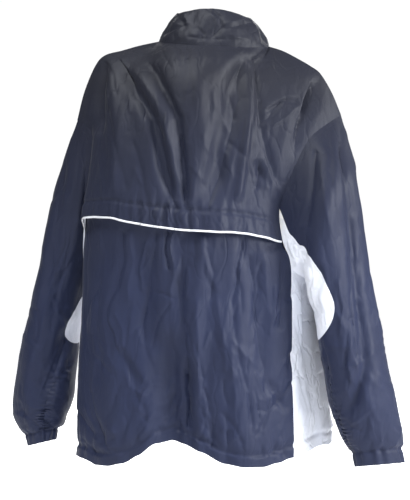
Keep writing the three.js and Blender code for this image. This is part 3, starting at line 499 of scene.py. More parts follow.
def through_points(nodes: Array, index: Array) -> Array:
    """A smooth curve through rows of points, read at fractional indices.

    Between two points it is the cubic whose slopes are half the step between the
    neighbours on either side; past each end the row goes on straight.

    Args:
        nodes: The points, shaped (rows, ..., 3).
        index: The fractional row for each place, which broadcasts with the rest.

    Returns:
        The points, shaped as the places are, with 3 coordinates each.
    """
    index = np.asarray(index, float)
    spread = nodes.ndim - 2
    if spread < index.ndim:
        nodes = nodes.reshape(len(nodes), *([1] * (index.ndim - spread)), *nodes.shape[1:])
    shape = np.broadcast_shapes(nodes.shape[1:-1], index.shape)
    index = np.broadcast_to(index, shape)
    padded = np.concatenate([2 * nodes[:1] - nodes[1:2], nodes, 2 * nodes[-1:] - nodes[-2:-1]])
    padded = np.broadcast_to(padded, (len(padded), *shape, 3))
    base = np.clip(np.floor(index).astype(int), 0, len(nodes) - 2)
    before, here, after, beyond = (
        np.take_along_axis(padded, (base + k)[None, ..., None], axis=0)[0] for k in range(4)
    )
    return hermite(here, (after - before) / 2, after, (beyond - here) / 2, index - base)


def read_table(columns: dict[str, Array], key: str, value: str, at: Array) -> Array:
    """Read a table between its rows, half straight and half eased.

    Args:
        columns: The table.
        key: The column that runs upwards.
        value: The column to read.
        at: Where to read it.

    Returns:
        The value at each place, held at the ends past the first and last row.
    """
    keys, values = columns[key], columns[value]
    at = np.clip(np.asarray(at, float), keys[0], keys[-1])
    low = np.clip(np.searchsorted(keys, at, side="right") - 1, 0, len(keys) - 2)
    t = (at - keys[low]) / (keys[low + 1] - keys[low])
    t = 0.5 * t * t * (3 - 2 * t) + 0.5 * t
    return values[low] * (1 - t) + values[low + 1] * t


def soft_noise(x: Array, y: Array, seed: float) -> Array:
    """Smooth noise from -1 to 1: fixed numbers at whole places, blended between them."""
    x0, y0 = np.floor(x), np.floor(y)
    fx, fy = x - x0, y - y0
    fx, fy = fx * fx * (3 - 2 * fx), fy * fy * (3 - 2 * fy)

    def at(i: int, j: int) -> Array:
        """The fixed number at one corner of the cell."""
        raw = np.sin((x0 + i) * 127.1 + (y0 + j) * 311.7 + seed * 74.7) * 43758.5453
        return raw - np.floor(raw)

    low = at(0, 0) * (1 - fx) + at(1, 0) * fx
    high = at(0, 1) * (1 - fx) + at(1, 1) * fx
    return 2 * (low * (1 - fy) + high * fy) - 1


def fold_depth(folds: dict[str, Array], x: Array, z: Array, power: float = 2.0) -> Array:
    """The depth of every fold at each place, seen from behind.

    Each fold is a trough or ridge along two straight lines, and it dies away at both
    ends. Its section is e to the minus distance over width, raised to a power: 2 is a
    soft bell, and near 1 it is two flat slopes that meet in a crisp edge.

    Args:
        folds: A table of folds.
        x: Widths of the places.
        z: Heights of the places.
        power: The section's power.

    Returns:
        How far the cloth moves out at each place, less than 0 in a trough.
    """
    x, z = np.broadcast_arrays(np.asarray(x, float), np.asarray(z, float))
    depth = np.zeros(x.shape)
    for x0, z0, x1, z1, x2, z2, width, deep in zip(*folds.values()):
        margin, reach = width * 2, width * 6
        high, low = max(z0, z1, z2), min(z0, z1, z2)
        left, right = min(x0, x1, x2) - reach, max(x0, x1, x2) + reach
        around = (x > left) & (x < right) & (z > low - margin) & (z < high + margin)
        px, pz = x[around], z[around]
        first = segment_distance(px, pz, x0, z0, x1, z1)
        near = np.minimum(first, segment_distance(px, pz, x1, z1, x2, z2))
        fade = ease(low - margin, low + margin, pz) * (1 - ease(high - margin, high + margin, pz))
        depth[around] += deep * np.exp(-((near / width) ** power)) * fade
    return depth


def off_photograph(read: dict[str, Array]) -> dict[str, Array]:
    """Carry creases from pixels to whole millimetres across and up from the neck.

    Each pixel is one pixel size wide, so a place is its pixels from the neck's own,
    times that size.

    Args:
        read: A table of creases, in pixels across and down.

    Returns:
        The same creases, with the columns of the folds.
    """
    across, down = NECK_PIXEL
    creases = {}
    for point in "012":
        creases["x" + point] = np.round((read["across" + point] - across) * PIXEL_SIZE)
        creases["z" + point] = np.round((down - read["down" + point]) * PIXEL_SIZE)
    return creases | {"width": read["width"], "depth": read["depth"]}


FINE_CREASES = off_photograph(CREASES_READ)


def scattered_creases(seed: int) -> dict[str, Array]:
    """Short creases strewn over each area, leaning the way its cloth falls.

    Each has a middle at an even chance in its area, a lean and a length about the
    area's own, a slight bend, and is as often a ridge as a trough.

    Args:
        seed: The seed of the numbers, the same in every run.

    Returns:
        A table with the columns of the other creases.
    """
    numbers = np.random.default_rng(seed)
    areas = []
    for x0, x1, z0, z1, lean, sway, length, many in zip(*CREASE_AREAS.values()):
        count = int(many)
        x, z = numbers.uniform(x0, x1, count), numbers.uniform(z1, z0, count)
        tilt = np.radians(lean + numbers.normal(0, sway, count))
        half = length * numbers.uniform(0.4, 1.2, count) / 2
        dx, dz = np.sin(tilt) * half, -np.cos(tilt) * half
        bend = numbers.normal(0, 0.14, count)
        deep = numbers.choice([-1.0, 1.0], count) * numbers.uniform(0.7, 1.9, count)
        width = numbers.uniform(2.6, 5.2, count)
        columns = [x - dx, z - dz, x + bend * dz, z - bend * dx, x + dx, z + dz, width, deep]
        areas.append(np.stack(columns, axis=1))
    return dict(zip(FINE_CREASES, np.concatenate(areas).T))


SCATTERED_CREASES = scattered_creases(seed=7)


def segment_distance(x: Array, z: Array, x0: float, z0: float, x1: float, z1: float) -> Array:
    """Distance in the plane from each place to a straight line between two points."""
    dx, dz = x1 - x0, z1 - z0
    t = np.clip(((x - x0) * dx + (z - z0) * dz) / (dx * dx + dz * dz), 0, 1)
    return np.hypot(x - x0 - dx * t, z - z0 - dz * t)


def carry_to_depth(point: Array) -> Array:
    """Carry points from the plane of sight to their own depth along the line of sight."""
    scale = 1 + point[..., 1] / SIGHT_DISTANCE
    return vec(
        point[..., 0] * scale,
        point[..., 1],
        EYE_HEIGHT + (point[..., 2] - EYE_HEIGHT) * scale,
    )


def as_seen(point: Array) -> tuple[Array, Array]:
    """The width and height at which points show in the plane of sight."""
    scale = 1 + point[..., 1] / SIGHT_DISTANCE
    return point[..., 0] / scale, EYE_HEIGHT + (point[..., 2] - EYE_HEIGHT) / scale


# ------------------------------------------------------------------ the form of the body


def neck_point(angle: Array) -> Array:
    """The neck seam: an oval that drops at the front and a little at the back."""
    angle = np.asarray(angle, float)
    x, y = 102 * np.cos(angle), NECK_MIDDLE + 66 * np.sin(angle)
    forward, rearward = np.maximum(0, np.sin(angle)), np.maximum(0, -np.sin(angle))
    return vec(x, y, -0.045 * x - 66 * forward**1.3 - 4 * rearward)


def neck_edge(angle: Array) -> Array:
    """The neck seam, drawn back from the zip by half its opening at the front."""
    angle = np.asarray(angle, float)
    point = neck_point(angle)
    side = np.where((angle < 1.5 * math.pi) & (angle >= math.pi / 2), -1.0, 1.0)
    point[..., 0] += side * ZIP_OPENING / 2 * ease(0.4, 1, np.sin(angle))
    return point


def shoulder_point(side: Side, t: Array) -> Array:
    """The shoulder line from the sleeve seam at 0 to the neck at 1."""
    line = np.stack([SHOULDER_LINES[side][axis] for axis in "xyz"], axis=-1)
    return through_points(line, np.clip(t, 0, 1) * (len(line) - 1))


def back_crest(u: Array) -> Array:
    """The top edge of the back: a shoulder, the neck seam and the other shoulder."""
    u = np.asarray(u, float)
    neck = neck_point(math.pi * (1 + (u - NECK_START) / (NECK_END - NECK_START)))
    left = shoulder_point(Side.LEFT, u / NECK_START)
    right = shoulder_point(Side.RIGHT, (1 - u) / (1 - NECK_END))
    point = np.where((u < NECK_START)[..., None], left, neck)
    return np.where((u > NECK_END)[..., None], right, point)


def front_crest(side: Side, u: Array) -> Array:
    """The top edge of one front: the shoulder, then the neck seam to the zip."""
    u = np.asarray(u, float)
    quarter = (u - FRONT_NECK_START) / (1 - FRONT_NECK_START) * math.pi / 2
    neck = neck_edge(math.pi - quarter if side is Side.LEFT else 2 * math.pi + quarter)
    shoulder = shoulder_point(side, u / FRONT_NECK_START)
    return np.where((u < FRONT_NECK_START)[..., None], shoulder, neck)


def level(start: Array, end: Array, leaving: Array, arriving: Array, belly: float, u: Array) -> Array:
    """One level of cloth between two seams, straight at belly 0 and full at 1."""
    chord = end - start
    leave = chord * (1 - belly) + leaving * belly
    arrive = chord * (1 - belly) + arriving * belly
    return hermite(start, leave, end, arrive, u)


def softened(crest: Callable[[Array], Array], u: Array, spread: float) -> Array:
    """A top edge averaged over five places, so its corners soften further down.

    Args:
        crest: The top edge as a function of the place along it.
        u: The places.
        spread: How far apart the five places are, less near both ends.

    Returns:
        The averaged points.
    """
    reach = np.minimum(spread, np.minimum(u, 1 - u) / 2)
    return sum(crest(u + reach * k) for k in (-2, -1, 0, 1, 2)) / 5


def back_rows(u: Array) -> Array:
    """Every row of the back at the places u, from the left armhole to the right."""
    u = np.asarray(u, float)
    lefts = np.stack([BACK_ROWS["left" + axis] for axis in "XYZ"], axis=-1)
    rights = np.stack([BACK_ROWS["right" + axis] for axis in "XYZ"], axis=-1)
    leaving, arriving = np.array([-45.0, -400, 0]), np.array([310.0, 250, 0])
    straight = lefts[0] + (rights[0] - lefts[0]) * u[..., None]
    levels = zip(lefts, rights, BACK_ROWS["belly"], BACK_ROWS["lift"])
    rows = []
    for index, (left, right, belly, lift) in enumerate(levels):
        rise = softened(back_crest, u, CREST_SPREAD * index) - straight
        rows.append(level(left, right, leaving, arriving, belly, u) + rise * lift)
    return np.stack(rows)


def front_rows(side: Side, u: Array) -> Array:
    """Every row of one front at the places u, from the side seam to the zip."""
    u = np.asarray(u, float)
    leaving = np.array([110.0, 70, 0] if side is Side.LEFT else [-60.0, 150, 0])
    arriving = np.array([-side.out * 230.0, 0, 0])
    edges = np.stack([FRONT_ROWS[side.value + axis] for axis in "XYZ"], axis=-1)
    middles = np.stack([FRONT_ROWS["mid" + axis] for axis in "XYZ"], axis=-1)
    middles = middles + np.array([side.out * ZIP_OPENING / 2, 0, 0])
    straight = edges[0] + (middles[0] - edges[0]) * u[..., None]
    levels = zip(edges, middles, FRONT_ROWS["belly"], FRONT_ROWS["lift"])
    rows = []
    for index, (edge, middle, belly, lift) in enumerate(levels):
        rise = softened(partial(front_crest, side), u, CREST_SPREAD * index) - straight
        rows.append(level(edge, middle, leaving, arriving, belly, u) + rise * lift)
    return np.stack(rows)


def side_rows(side: Side, q: Array) -> Array:
    """Every row between back and front at the places q, from the back seam forward."""
    q = np.asarray(q, float)
    back = back_rows(np.array(0.0 if side is Side.LEFT else 1.0))
    front = front_rows(side, np.array(0.0))
    leave, arrive = ((5, 100, 0), (70, 80, 0)) if side is Side.LEFT else ((72, 58, 0), (-20, 110, 0))
    return np.stack(
        [hermite(b, np.array(leave, float), f, np.array(arrive, float), q) for b, f in zip(back, front)]
    )


def outward(point: Array) -> Array:
    """Level direction away from the middle of the body."""
    return unit(vec(point[..., 0] - BODY_MIDDLE, point[..., 1] * 1.6, 0))


def turn_about(x: Array, y: Array) -> Array:
    """The angle about the middle of the body, evened out for its flat oval."""
    return np.arctan2(y * 1.9, x - BODY_MIDDLE)


def share_behind(x: Array, y: Array) -> Array:
    """How far a place counts as the back: 1 behind, 0 in front, blended at the sides."""
    return 1 - ease(-20, 25, y + x * 0.1)


def main_folds(x: Array, z: Array, behind: Array) -> Array:
    """The depth of the main folds, those of the back blended into those of the front."""
    return fold_depth(BACK_FOLDS, x, z) * behind + fold_depth(FRONT_FOLDS, x, z) * (1 - behind)


def hem_gathers(x: Array, y: Array) -> Array:
    """Small even gathers round the hem, two sines of the angle about the body."""
    around = turn_about(x, y)
    strong = 0.45 + 0.55 * bell(x, -25, 75) * np.where(y < 0, 1, 0.6)
    return strong * (np.sin(around * 29) + 0.5 * np.sin(around * 43 + 1.3))


def fine_relief(x: Array, z: Array) -> Array:
    """Finer creases with a little wander, and soft uneven crumpling."""
    wander = 3.0 * soft_noise(x / 26, z / 34, 1.0)
    creases = fold_depth(FINE_CREASES, x + wander, z + 2.0 * soft_noise(x / 20, z / 25, 2.0), 1.2)
    lean = x + 0.12 * z
    creases = creases + fold_depth(SCATTERED_CREASES, x, z, 1.2)
    broad = 2.6 * np.abs(soft_noise(lean / 36, z / 140, 3.0))
    narrow = 1.3 * np.abs(soft_noise((x - 0.2 * z) / 22, z / 80, 4.0))
    crumple = 0.7 * np.abs(soft_noise(x / 9, z / 14, 5.0)) * (0.35 + 0.65 * ease(-500, -700, z))
    return 1.45 * creases + broad - narrow + crumple


def body_relief(x: Array, y: Array, z: Array) -> Array:
    """Fine relief on the back, and similar relief mirrored and moved on the front."""
    behind = share_behind(x, y)
    return fine_relief(x, z) * behind + 0.8 * fine_relief(-x - 12, z + 26) * (1 - behind)


def dress_body(point: Array, row: Array, edge_fade: Array, gather_fade: Array = 1.0) -> Array:
    """Lay folds, creases, casing and gathers on the plain form of the body.

    The cloth moves straight out by the folds and the fine relief, which fade at the
    seams, and by the gathers of the elastic below the casing's stitches.

    Args:
        point: Points of the plain form.
        row: The row of each point.
        edge_fade: How much of the folds is left near a seam.
        gather_fade: How much of the gathers is left near the zip.

    Returns:
        The dressed points, not yet carried to their depth.
    """
    x, y, z = np.moveaxis(point, -1, 0)
    behind = share_behind(x, y)
    folds = main_folds(x, z, behind)
    hem_shift = (read_table(HEM_LINE, "x", "z", x) - HEM_HEIGHT) * ease(10, CASING_ROW, row) * behind
    flap_shift = read_table(FLAP_RISE, "x", "z", x) * np.exp(-((row - FLAP_EDGE_ROW) ** 2) / 1.2)
    gathers = hem_gathers(x, y) * ease(11.6, 12.1, row) * 1.3
    above = np.sin(turn_about(x, y) * 36 + 2 * soft_noise(x / 30, z / 40, 6.0))
    above = above * ease(11.0, 11.9, row) * (1 - ease(11.95, 12.3, row))
    cinch = -3.2 * np.exp(-((row - CASING_ROW) ** 2) / 0.014)
    fine = body_relief(x, y, z) * ease(0, 0.35, row) * (1 - 0.6 * ease(11.8, 12.2, row))
    out = folds * edge_fade * ease(0, 0.9, row) + edge_fade * fine
    out = out + (gathers + cinch + above) * gather_fade
    shift = vec(0, 0, hem_shift + flap_shift * behind)
    return point + outward(point) * out[..., None] + shift


def seam_fade(away: Array, reach: float, row: Array) -> Array:
    """How much of the folds is left near a seam, which they run on past lower down.

    Args:
        away: The distance from the seam.
        reach: The distance at which the folds are whole.
        row: The row, which frees the folds over the release rows.

    Returns:
        The share of the folds, from 0 to 1.
    """
    near = ease(0, reach, away)
    return near + (1 - near) * ease(*SEAM_RELEASE_ROWS, row)


def back_point(u: Array, row: Array) -> Array:
    """The back at the places u and rows."""
    u, row = np.broadcast_arrays(np.asarray(u, float), np.asarray(row, float))
    fade = seam_fade(np.minimum(u, 1 - u), 0.07, row)
    return carry_to_depth(dress_body(through_points(back_rows(u), row), row, fade))


def front_point(side: Side, u: Array, row: Array) -> Array:
    """One front at the places u and rows."""
    u, row = np.broadcast_arrays(np.asarray(u, float), np.asarray(row, float))
    at_zip = 1 - ease(0.8, 0.93, u)
    fade = np.minimum(at_zip, seam_fade(u, 0.1, row))
    point = through_points(front_rows(side, u), row)
    return carry_to_depth(dress_body(point, row, fade, at_zip))


def side_point(side: Side, q: Array, row: Array) -> Array:
    """The side between back and front at the places q and rows."""
    q, row = np.broadcast_arrays(np.asarray(q, float), np.asarray(row, float))
    point = through_points(side_rows(side, q), row)
    return carry_to_depth(dress_body(point, row, ease(*SEAM_RELEASE_ROWS, row)))


def underarm_row(q: Array) -> Array:
    """The row of the underarm, which dips in its middle."""
    return UNDERARM_ROW + 0.4 * np.sin(math.pi * np.asarray(q, float))


def lower_point(u: Array, row: Array) -> Array:
    """The lower back, a little further in where it lies under the flap."""
    point = back_point(u, row)
    return point + outward(point) * (-3 * (1 - ease(6.15, 6.9, row)))[..., None]


def yoke_point(u: Array, row: Array) -> Array:
    """The upper back, whose flap hangs clear of the lower back towards its edge.

    The flap stands out by an uneven lift that grows to its edge and is least at its
    ends, and its casing adds small gathers, strongest in the middle.
    """
    point = back_point(u, row)
    u, row = np.broadcast_arrays(np.asarray(u, float), np.asarray(row, float))
    ends = ease(0, 0.1, np.minimum(u, 1 - u))
    uneven = 0.75 + 0.3 * np.sin(u * 9.5 + 0.6) + 0.2 * np.sin(u * 21)
    strong = 0.25 + bell(u, 0.52, 0.14)
    ripple = np.sin(u * 132) + 0.4 * np.sin(u * 190 + 1)
    pucker = 0.5 * np.sin(u * 233 + 5 * soft_noise(u * 40, row * 3, 7.0))
    gathers = ease(5.25, 5.5, row) * strong * 1.3 * (ripple + pucker)
    above = ease(4.9, 5.35, row) * (1 - ease(5.4, 5.6, row)) * strong * 0.8 * np.sin(u * 165)
    cinch = -2.4 * np.exp(-((row - FLAP_CASING_ROW) ** 2) / 0.006) * ends
    lift = ease(4.3, FLAP_EDGE_ROW, row) * FLAP_LIFT * uneven
    return point + outward(point) * (ends * (lift + gathers + cinch + above))[..., None]


# ------------------------------------------------------------------ the form of a sleeve


def armhole_point(side: Side, angle: Array) -> Array:
    """The armhole seam: 0 at the shoulder, half a turn at the underarm, by the back."""
    turn = (np.asarray(angle, float) / (2 * math.pi)) % 1
    edge = 0.0 if side is Side.LEFT else 1.0
    q = np.clip((turn - 0.4) / 0.2, 0, 1)
    behind = back_point(np.full_like(turn, edge), UNDERARM_ROW * np.clip(turn / 0.4, 0, 1))
    before = front_point(side, np.zeros_like(turn), UNDERARM_ROW * np.clip((1 - turn) / 0.4, 0, 1))
    under = side_point(side, q, underarm_row(q))
    point = np.where((turn < 0.4)[..., None], behind, under)
    return np.where((turn > 0.6)[..., None], before, point)


def sleeve_rings(side: Side, angle: Array) -> tuple[Array, Array]:
    """Every ring of a sleeve at the given angles, with the middle of each ring.

    A ring is an oval: its centre, plus its outer reach times the cosine and its
    rearward reach times the sine of the angle less the ring's twist.

    Args:
        side: The wearer's side.
        angle: Angles round the sleeve.

    Returns:
        Points of all ten rings, and their middles.
    """
    seam = armhole_point(side, angle)
    ends = armhole_point(side, np.array([0.0, math.pi]))
    rings, middles = [seam], [ends.mean(axis=0)]
    for x, y, z, wide, deep, turn, rise, twist in zip(*SLEEVE_ROWS[side].values()):
        turn, place = math.radians(turn), np.asarray(angle, float) - math.radians(twist)
        outer = np.array([math.cos(turn) * wide, math.sin(turn) * wide, rise])
        rear = np.array([math.sin(turn), -math.cos(turn), 0.0]) * deep * side.out
        centre = np.array([x, y, z])
        ring = centre + outer * np.cos(place)[..., None] + rear * np.sin(place)[..., None]
        rings.append(carry_to_depth(ring))
        middles.append(carry_to_depth(centre))
    return np.stack(rings), np.stack(middles)


def sleeve_point(side: Side, angle: Array, v: Array) -> Array:
    """A sleeve at the given angles and rows, with its folds, cuff gathers and seam.

    Args:
        side: The wearer's side.
        angle: Angles round the sleeve.
        v: Rows, from 0 at the armhole to 9 at the cuff.

    Returns:
        The dressed points.
    """
    angle, v = np.broadcast_arrays(np.asarray(angle, float), np.asarray(v, float))
    rings, middles = sleeve_rings(side, angle)
    point = through_points(rings, v)
    centre = through_points(middles, v)
    out = point - centre
    out[..., 2] = 0
    out = unit(out)
    behind = 1 - ease(-12, 18, point[..., 1] - centre[..., 1])
    x, z = point[..., 0], point[..., 2]
    seen_x, seen_z = as_seen(point)
    folds = main_folds(x, z, behind)
    fine = fine_relief(seen_x, seen_z) * behind
    fine = fine + 0.8 * fine_relief(seen_x + 7, seen_z + 34) * (1 - behind)
    cuff = ease(7.5, 8.1, v)
    gathers = cuff * 1.3 * (np.sin(angle * 13) + 0.4 * np.sin(angle * 19 + 1))
    waves = np.sin(angle * 11 + 2.5 * soft_noise(angle * 2, v, 8.0))
    above = ease(6.9, 7.8, v) * (1 - cuff * 0.7) * 1.2 * waves
    cinch = -2.2 * np.exp(-((v - CUFF_CASING_ROW) ** 2) / 0.04)
    seam = np.exp(-(1 + np.cos(angle)) / 0.01) * ease(3.4, 4, v) * (1 - cuff)
    uneven = (0.3 + soft_noise(v * 4.3, angle * 0.7, 10.0) ** 2) * ease(3.6, 4.2, v) * (1 - cuff)
    ripple = np.sin(v * 31 + 4.5 * soft_noise(v * 2.3, angle * 1.3, 9.0) + angle * 2)
    pucker = 2.3 * np.exp(-(1 + np.cos(angle)) / 0.05) * ripple * uneven
    move = folds * ease(0.15, 0.9, v) + fine * ease(0.02, 0.25, v) * (1 - 0.6 * cuff)
    move = move + gathers + above + cinch - 2.2 * seam + pucker
    return point + out * move[..., None]


def gusset_half(v: Array) -> Array:
    """Half the angle that the underarm gusset covers, rounded off at its end."""
    v = np.asarray(v, float)
    reach = np.radians(read_table(GUSSET_REACH, "at", "degrees", v))
    rounding = np.sqrt(np.maximum(0, 1 - (v / GUSSET_END) ** 7))
    return np.where(v >= GUSSET_END, 0.0, reach * rounding)


def collar_point(angle: Array, v: Array) -> Array:
    """The stand collar, which leans in towards its top and sags into soft creases."""
    angle, v = np.broadcast_arrays(np.asarray(angle, float), np.asarray(v, float))
    base = carry_to_depth(neck_edge(angle))
    forward = np.maximum(0, np.sin(angle))
    rise = COLLAR_HEIGHT * (1 - 0.26 * np.cos(angle) ** 2 - 0.03 * forward)
    lean = 0.18 * v + 0.16 * v * v
    top = vec(
        base[..., 0] * (1 - lean * (1 - ease(0.9, 1, forward))),
        NECK_MIDDLE + (base[..., 1] - NECK_MIDDLE) * (1 - 0.9 * lean),
        base[..., 2] + rise * v,
    )
    full = v * (1 - v) * 4
    crumple = full * (2.2 * np.sin(angle * 5 + v * 2.2) + 1.4 * np.sin(angle * 9 - v * 3 + 1))
    x, z = as_seen(top)
    behind = 1 - ease(-10, 20, top[..., 1])
    creases = fold_depth(COLLAR_CREASES, x, z, 1.4) * behind * 1.7
    creases = creases + 1.2 * fold_depth(COLLAR_CREASES, -x, z + 40, 1.4) * (1 - behind)
    small = 0.7 * soft_noise(angle * 9, v * 4, 9.0) + 0.35 * soft_noise(angle * 22, v * 9, 10.0)
    small = small * ease(0, 0.2, v)
    still = 1 - ease(0.85, 0.97, forward)
    out = unit(vec(top[..., 0], top[..., 1] - NECK_MIDDLE, 0))
    return top + out * ((crumple + 1.5 * full + creases + small) * still)[..., None]


# ------------------------------------------------------------------ meshes


def write_mesh(name: str, points: Array, faces: Array, smooth_angle: float = 40.0) -> Piece:
    """Put points and faces into a new object at the origin.

    Args:
        name: The object's name.
        points: Points in millimetres, shaped (count, 3).
        faces: Corner numbers, shaped (count, 3) or (count, 4).
        smooth_angle: Edges sharper than this, in degrees, stay sharp.

    Returns:
        The new object.
    """
    mesh = bpy.data.meshes.new(name)
    corners = faces.shape[1]
    mesh.vertices.add(len(points))
    mesh.vertices.foreach_set("co", (points * MM).astype(np.float32).ravel())
    mesh.loops.add(faces.size)
    mesh.loops.foreach_set("vertex_index", faces.astype(np.int32).ravel())
    mesh.polygons.add(len(faces))
    mesh.polygons.foreach_set("loop_start", np.arange(0, faces.size, corners, dtype=np.int32))
    mesh.update(calc_edges=True)
    mesh.polygons.foreach_set("use_smooth", np.ones(len(faces), bool))
    mesh.set_sharp_from_angle(angle=math.radians(smooth_angle))
    piece = bpy.data.objects.new(name, mesh)
    bpy.context.scene.collection.objects.link(piece)
    return piece


def grid_normals(grid: Array, facing: float) -> Array:
    """Outward directions on a grid: across times down, turned by facing."""
    across = np.gradient(grid, axis=1)
    down = np.gradient(grid, axis=0)
    return unit(np.cross(across, down) * facing)


def grid_faces(high: int, wide: int) -> Array:
    """The corner numbers of every cell of a grid, column after column in a row."""
    a = (np.arange(high - 1)[:, None] * wide + np.arange(wide - 1)).ravel()
    return np.stack([a, a + 1, a + 1 + wide, a + wide], axis=1)


def rim_ring(high: int, wide: int) -> Array:
    """The numbers of the points round the edge of a grid, in order."""
    top = np.arange(wide - 1)
    right = np.arange(high - 1) * wide + wide - 1
    bottom = high * wide - 1 - np.arange(wide - 1)
    left = (high - 1 - np.arange(high - 1)) * wide
    return np.concatenate([top, right, bottom, left])


@dataclass
class ClothSheet:
    """A cut piece of cloth: an outer face, an inner face below it and a rim.

    Attributes:
        name: The piece's name.
        grid: The outer face in millimetres, shaped (rows, columns, 3).
        facing: 1 if columns crossed with rows point out, -1 if they point in.
        thickness: The cloth's thickness in millimetres.
    """

    name: str
    grid: Array
    facing: float
    thickness: float = SHELL_THICKNESS

    def lengths(self) -> tuple[Array, Array]:
        """Running lengths along each row and each column, from the middle out."""
        steps_across = np.linalg.norm(np.diff(self.grid, axis=1), axis=-1)
        steps_down = np.linalg.norm(np.diff(self.grid, axis=0), axis=-1)
        across = np.pad(np.cumsum(steps_across, axis=1), ((0, 0), (1, 0)))
        down = np.pad(np.cumsum(steps_down, axis=0), ((1, 0), (0, 0)))
        middle = self.grid.shape[1] // 2
        return across - across[:, middle : middle + 1], down

    def area(self) -> float:
        """The area of the outer face in square metres, two triangles to a cell."""
        a, b = self.grid[:-1, :-1], self.grid[:-1, 1:]
        c, d = self.grid[1:, 1:], self.grid[1:, :-1]
        first = np.linalg.norm(np.cross(b - a, c - a), axis=-1)
        second = np.linalg.norm(np.cross(c - a, d - a), axis=-1)
        return float((first + second).sum() / 2) * MM * MM

    def build(self) -> Piece:
        """Make the piece, with a map of its own surface in metres."""
        high, wide = self.grid.shape[:2]
        count = high * wide
        outer = self.grid.reshape(-1, 3)
        inner = outer - grid_normals(self.grid, self.facing).reshape(-1, 3) * self.thickness
        cells = grid_faces(high, wide)
        ring = rim_ring(high, wide)
        after = np.roll(ring, -1)
        rim = np.stack([after, ring, ring + count, after + count], axis=1)
        faces = np.concatenate([cells, cells[:, ::-1] + count, rim])
        if self.facing < 0:
            faces = faces[:, ::-1]
        piece = write_mesh(self.name, np.concatenate([outer, inner]), faces)
        across, down = self.lengths()
        flat = np.stack([across.ravel(), down.ravel()], axis=1) * MM
        corner_map = np.concatenate([flat, flat])[faces.ravel()]
        layer = piece.data.uv_layers.new(name="cloth")
        layer.data.foreach_set("uv", corner_map.astype(np.float32).ravel())
        return piece

    def declare(
        self,
        flat: Optional[tuple[float, float]] = None,
    ) -> None:
        """State the flat cut of the piece.

        Args:
            flat: The cut's width and length in metres, where its edges curve so far
                that the longest row and column would overstate them.
        """
        across, down = self.lengths()
        width = float((across.max(axis=1) - across.min(axis=1)).max()) * MM
        length = float(down[-1].max()) * MM
        if flat is not None:
            width, length = flat
        area = min(self.area(), width * length)
        log.info("%s: cut %.3f x %.3f m, %.3f square metres", self.name, width, length, area)


def stitch_line(name: str, path: Array, outs: Array, length: float = 2.4, gap: float = 0.9) -> Piece:
    """A row of small stitches along a line on the cloth.

    Each stitch is an eight-sided spindle: a square ring in its middle and a point at
    each end, laid along the line and raised on the cloth.

    Args:
        name: The piece's name.
        path: Points along the line in millimetres, shaped (count, 3).
        outs: The outward direction at each point.
        length: The length of a stitch.
        gap: The gap between two stitches.

    Returns:
        The stitches as one piece.
    """
    runs = np.concatenate([[0], np.cumsum(np.linalg.norm(np.diff(path, axis=0), axis=1))])
    places = np.arange(length / 2, runs[-1] - length / 2, length + gap)

    def along(values: Array, at: Array) -> Array:
        """Read points or directions at lengths along the line."""
        return np.stack([np.interp(at, runs, values[:, k]) for k in range(3)], axis=1)

    middle, start, end = (along(path, places + d) for d in (0, -length / 2, length / 2))
    up = unit(along(outs, places))
    ahead = unit(end - start)
    across = unit(np.cross(ahead, up))
    half = 0.3
    corners = [
        start + up * 0.02,
        middle + across * half + up * 0.1,
        middle + up * (half + 0.18),
        middle - across * half + up * 0.1,
        middle - up * 0.15,
        end + up * 0.02,
    ]
    points = np.stack(corners, axis=1).reshape(-1, 3)
    shape = [(0, 2, 1), (0, 3, 2), (0, 4, 3), (0, 1, 4), (5, 1, 2), (5, 2, 3), (5, 3, 4), (5, 4, 1)]
    faces = (np.arange(len(places))[:, None, None] * len(corners) + np.array(shape)).reshape(-1, 3)
    return write_mesh(name, points, faces)


def round_cord(name: str, path: Array, radius: float, sides: int) -> Piece:
    """A round cord along a path, closed at both ends by shrinking to a point.

    Args:
        name: The piece's name.
        path: Points along the middle of the cord in millimetres.
        radius: The cord's radius.
        sides: How many flats its section has.

    Returns:
        The cord.
    """
    count = len(path)
    ahead = unit(np.gradient(path, axis=0))
    first = unit(np.cross(np.array([0.0, 0.3, 1.0]), ahead))
    second = np.cross(ahead, first)
    end_shape = np.clip(np.minimum(np.arange(count), count - 1 - np.arange(count)) / 3, 0.05, 1)
    size = radius * np.sqrt(1 - (1 - end_shape) ** 2)
    angle = np.arange(sides) * 2 * math.pi / sides
    ring = first[:, None] * np.cos(angle)[:, None] + second[:, None] * np.sin(angle)[:, None]
    points = (path[:, None] + ring * size[:, None, None]).reshape(-1, 3)
    j, i = np.meshgrid(np.arange(count - 1), np.arange(sides), indexing="ij")
    a, b = j * sides + i, j * sides + (i + 1) % sides
    faces = np.stack([a, b, b + sides, a + sides], axis=-1).reshape(-1, 4)
    tips = np.stack([path[0], path[-1]])
    k = np.arange(sides)
    first_tip, last_tip = np.full(sides, count * sides), np.full(sides, count * sides + 1)
    last = (count - 1) * sides
    start_fan = np.stack([first_tip, (k + 1) % sides, k], axis=1)
    end_fan = np.stack([last_tip, last + k, last + (k + 1) % sides], axis=1)
    split = np.concatenate([faces[:, [0, 1, 2]], faces[:, [0, 2, 3]], start_fan, end_fan])
    return write_mesh(name, np.concatenate([points, tips]), split)


def ride(piece: Piece, finish: "Finish", *nodes: str) -> Piece:
    """Dress a piece, let it ride on the jacket and stand for the named solids.

    Args:
        piece: The piece.
        finish: Its finish.
        *nodes: The solids that it replaces.

    Returns:
        The same piece.
    """
    piece.data.materials.clear()
    piece.data.materials.append(finish.material())
    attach(piece, BODY)
    if nodes:
        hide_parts(*nodes)
    log.info("%s: %d faces", piece.name, len(piece.data.polygons))
    return piece


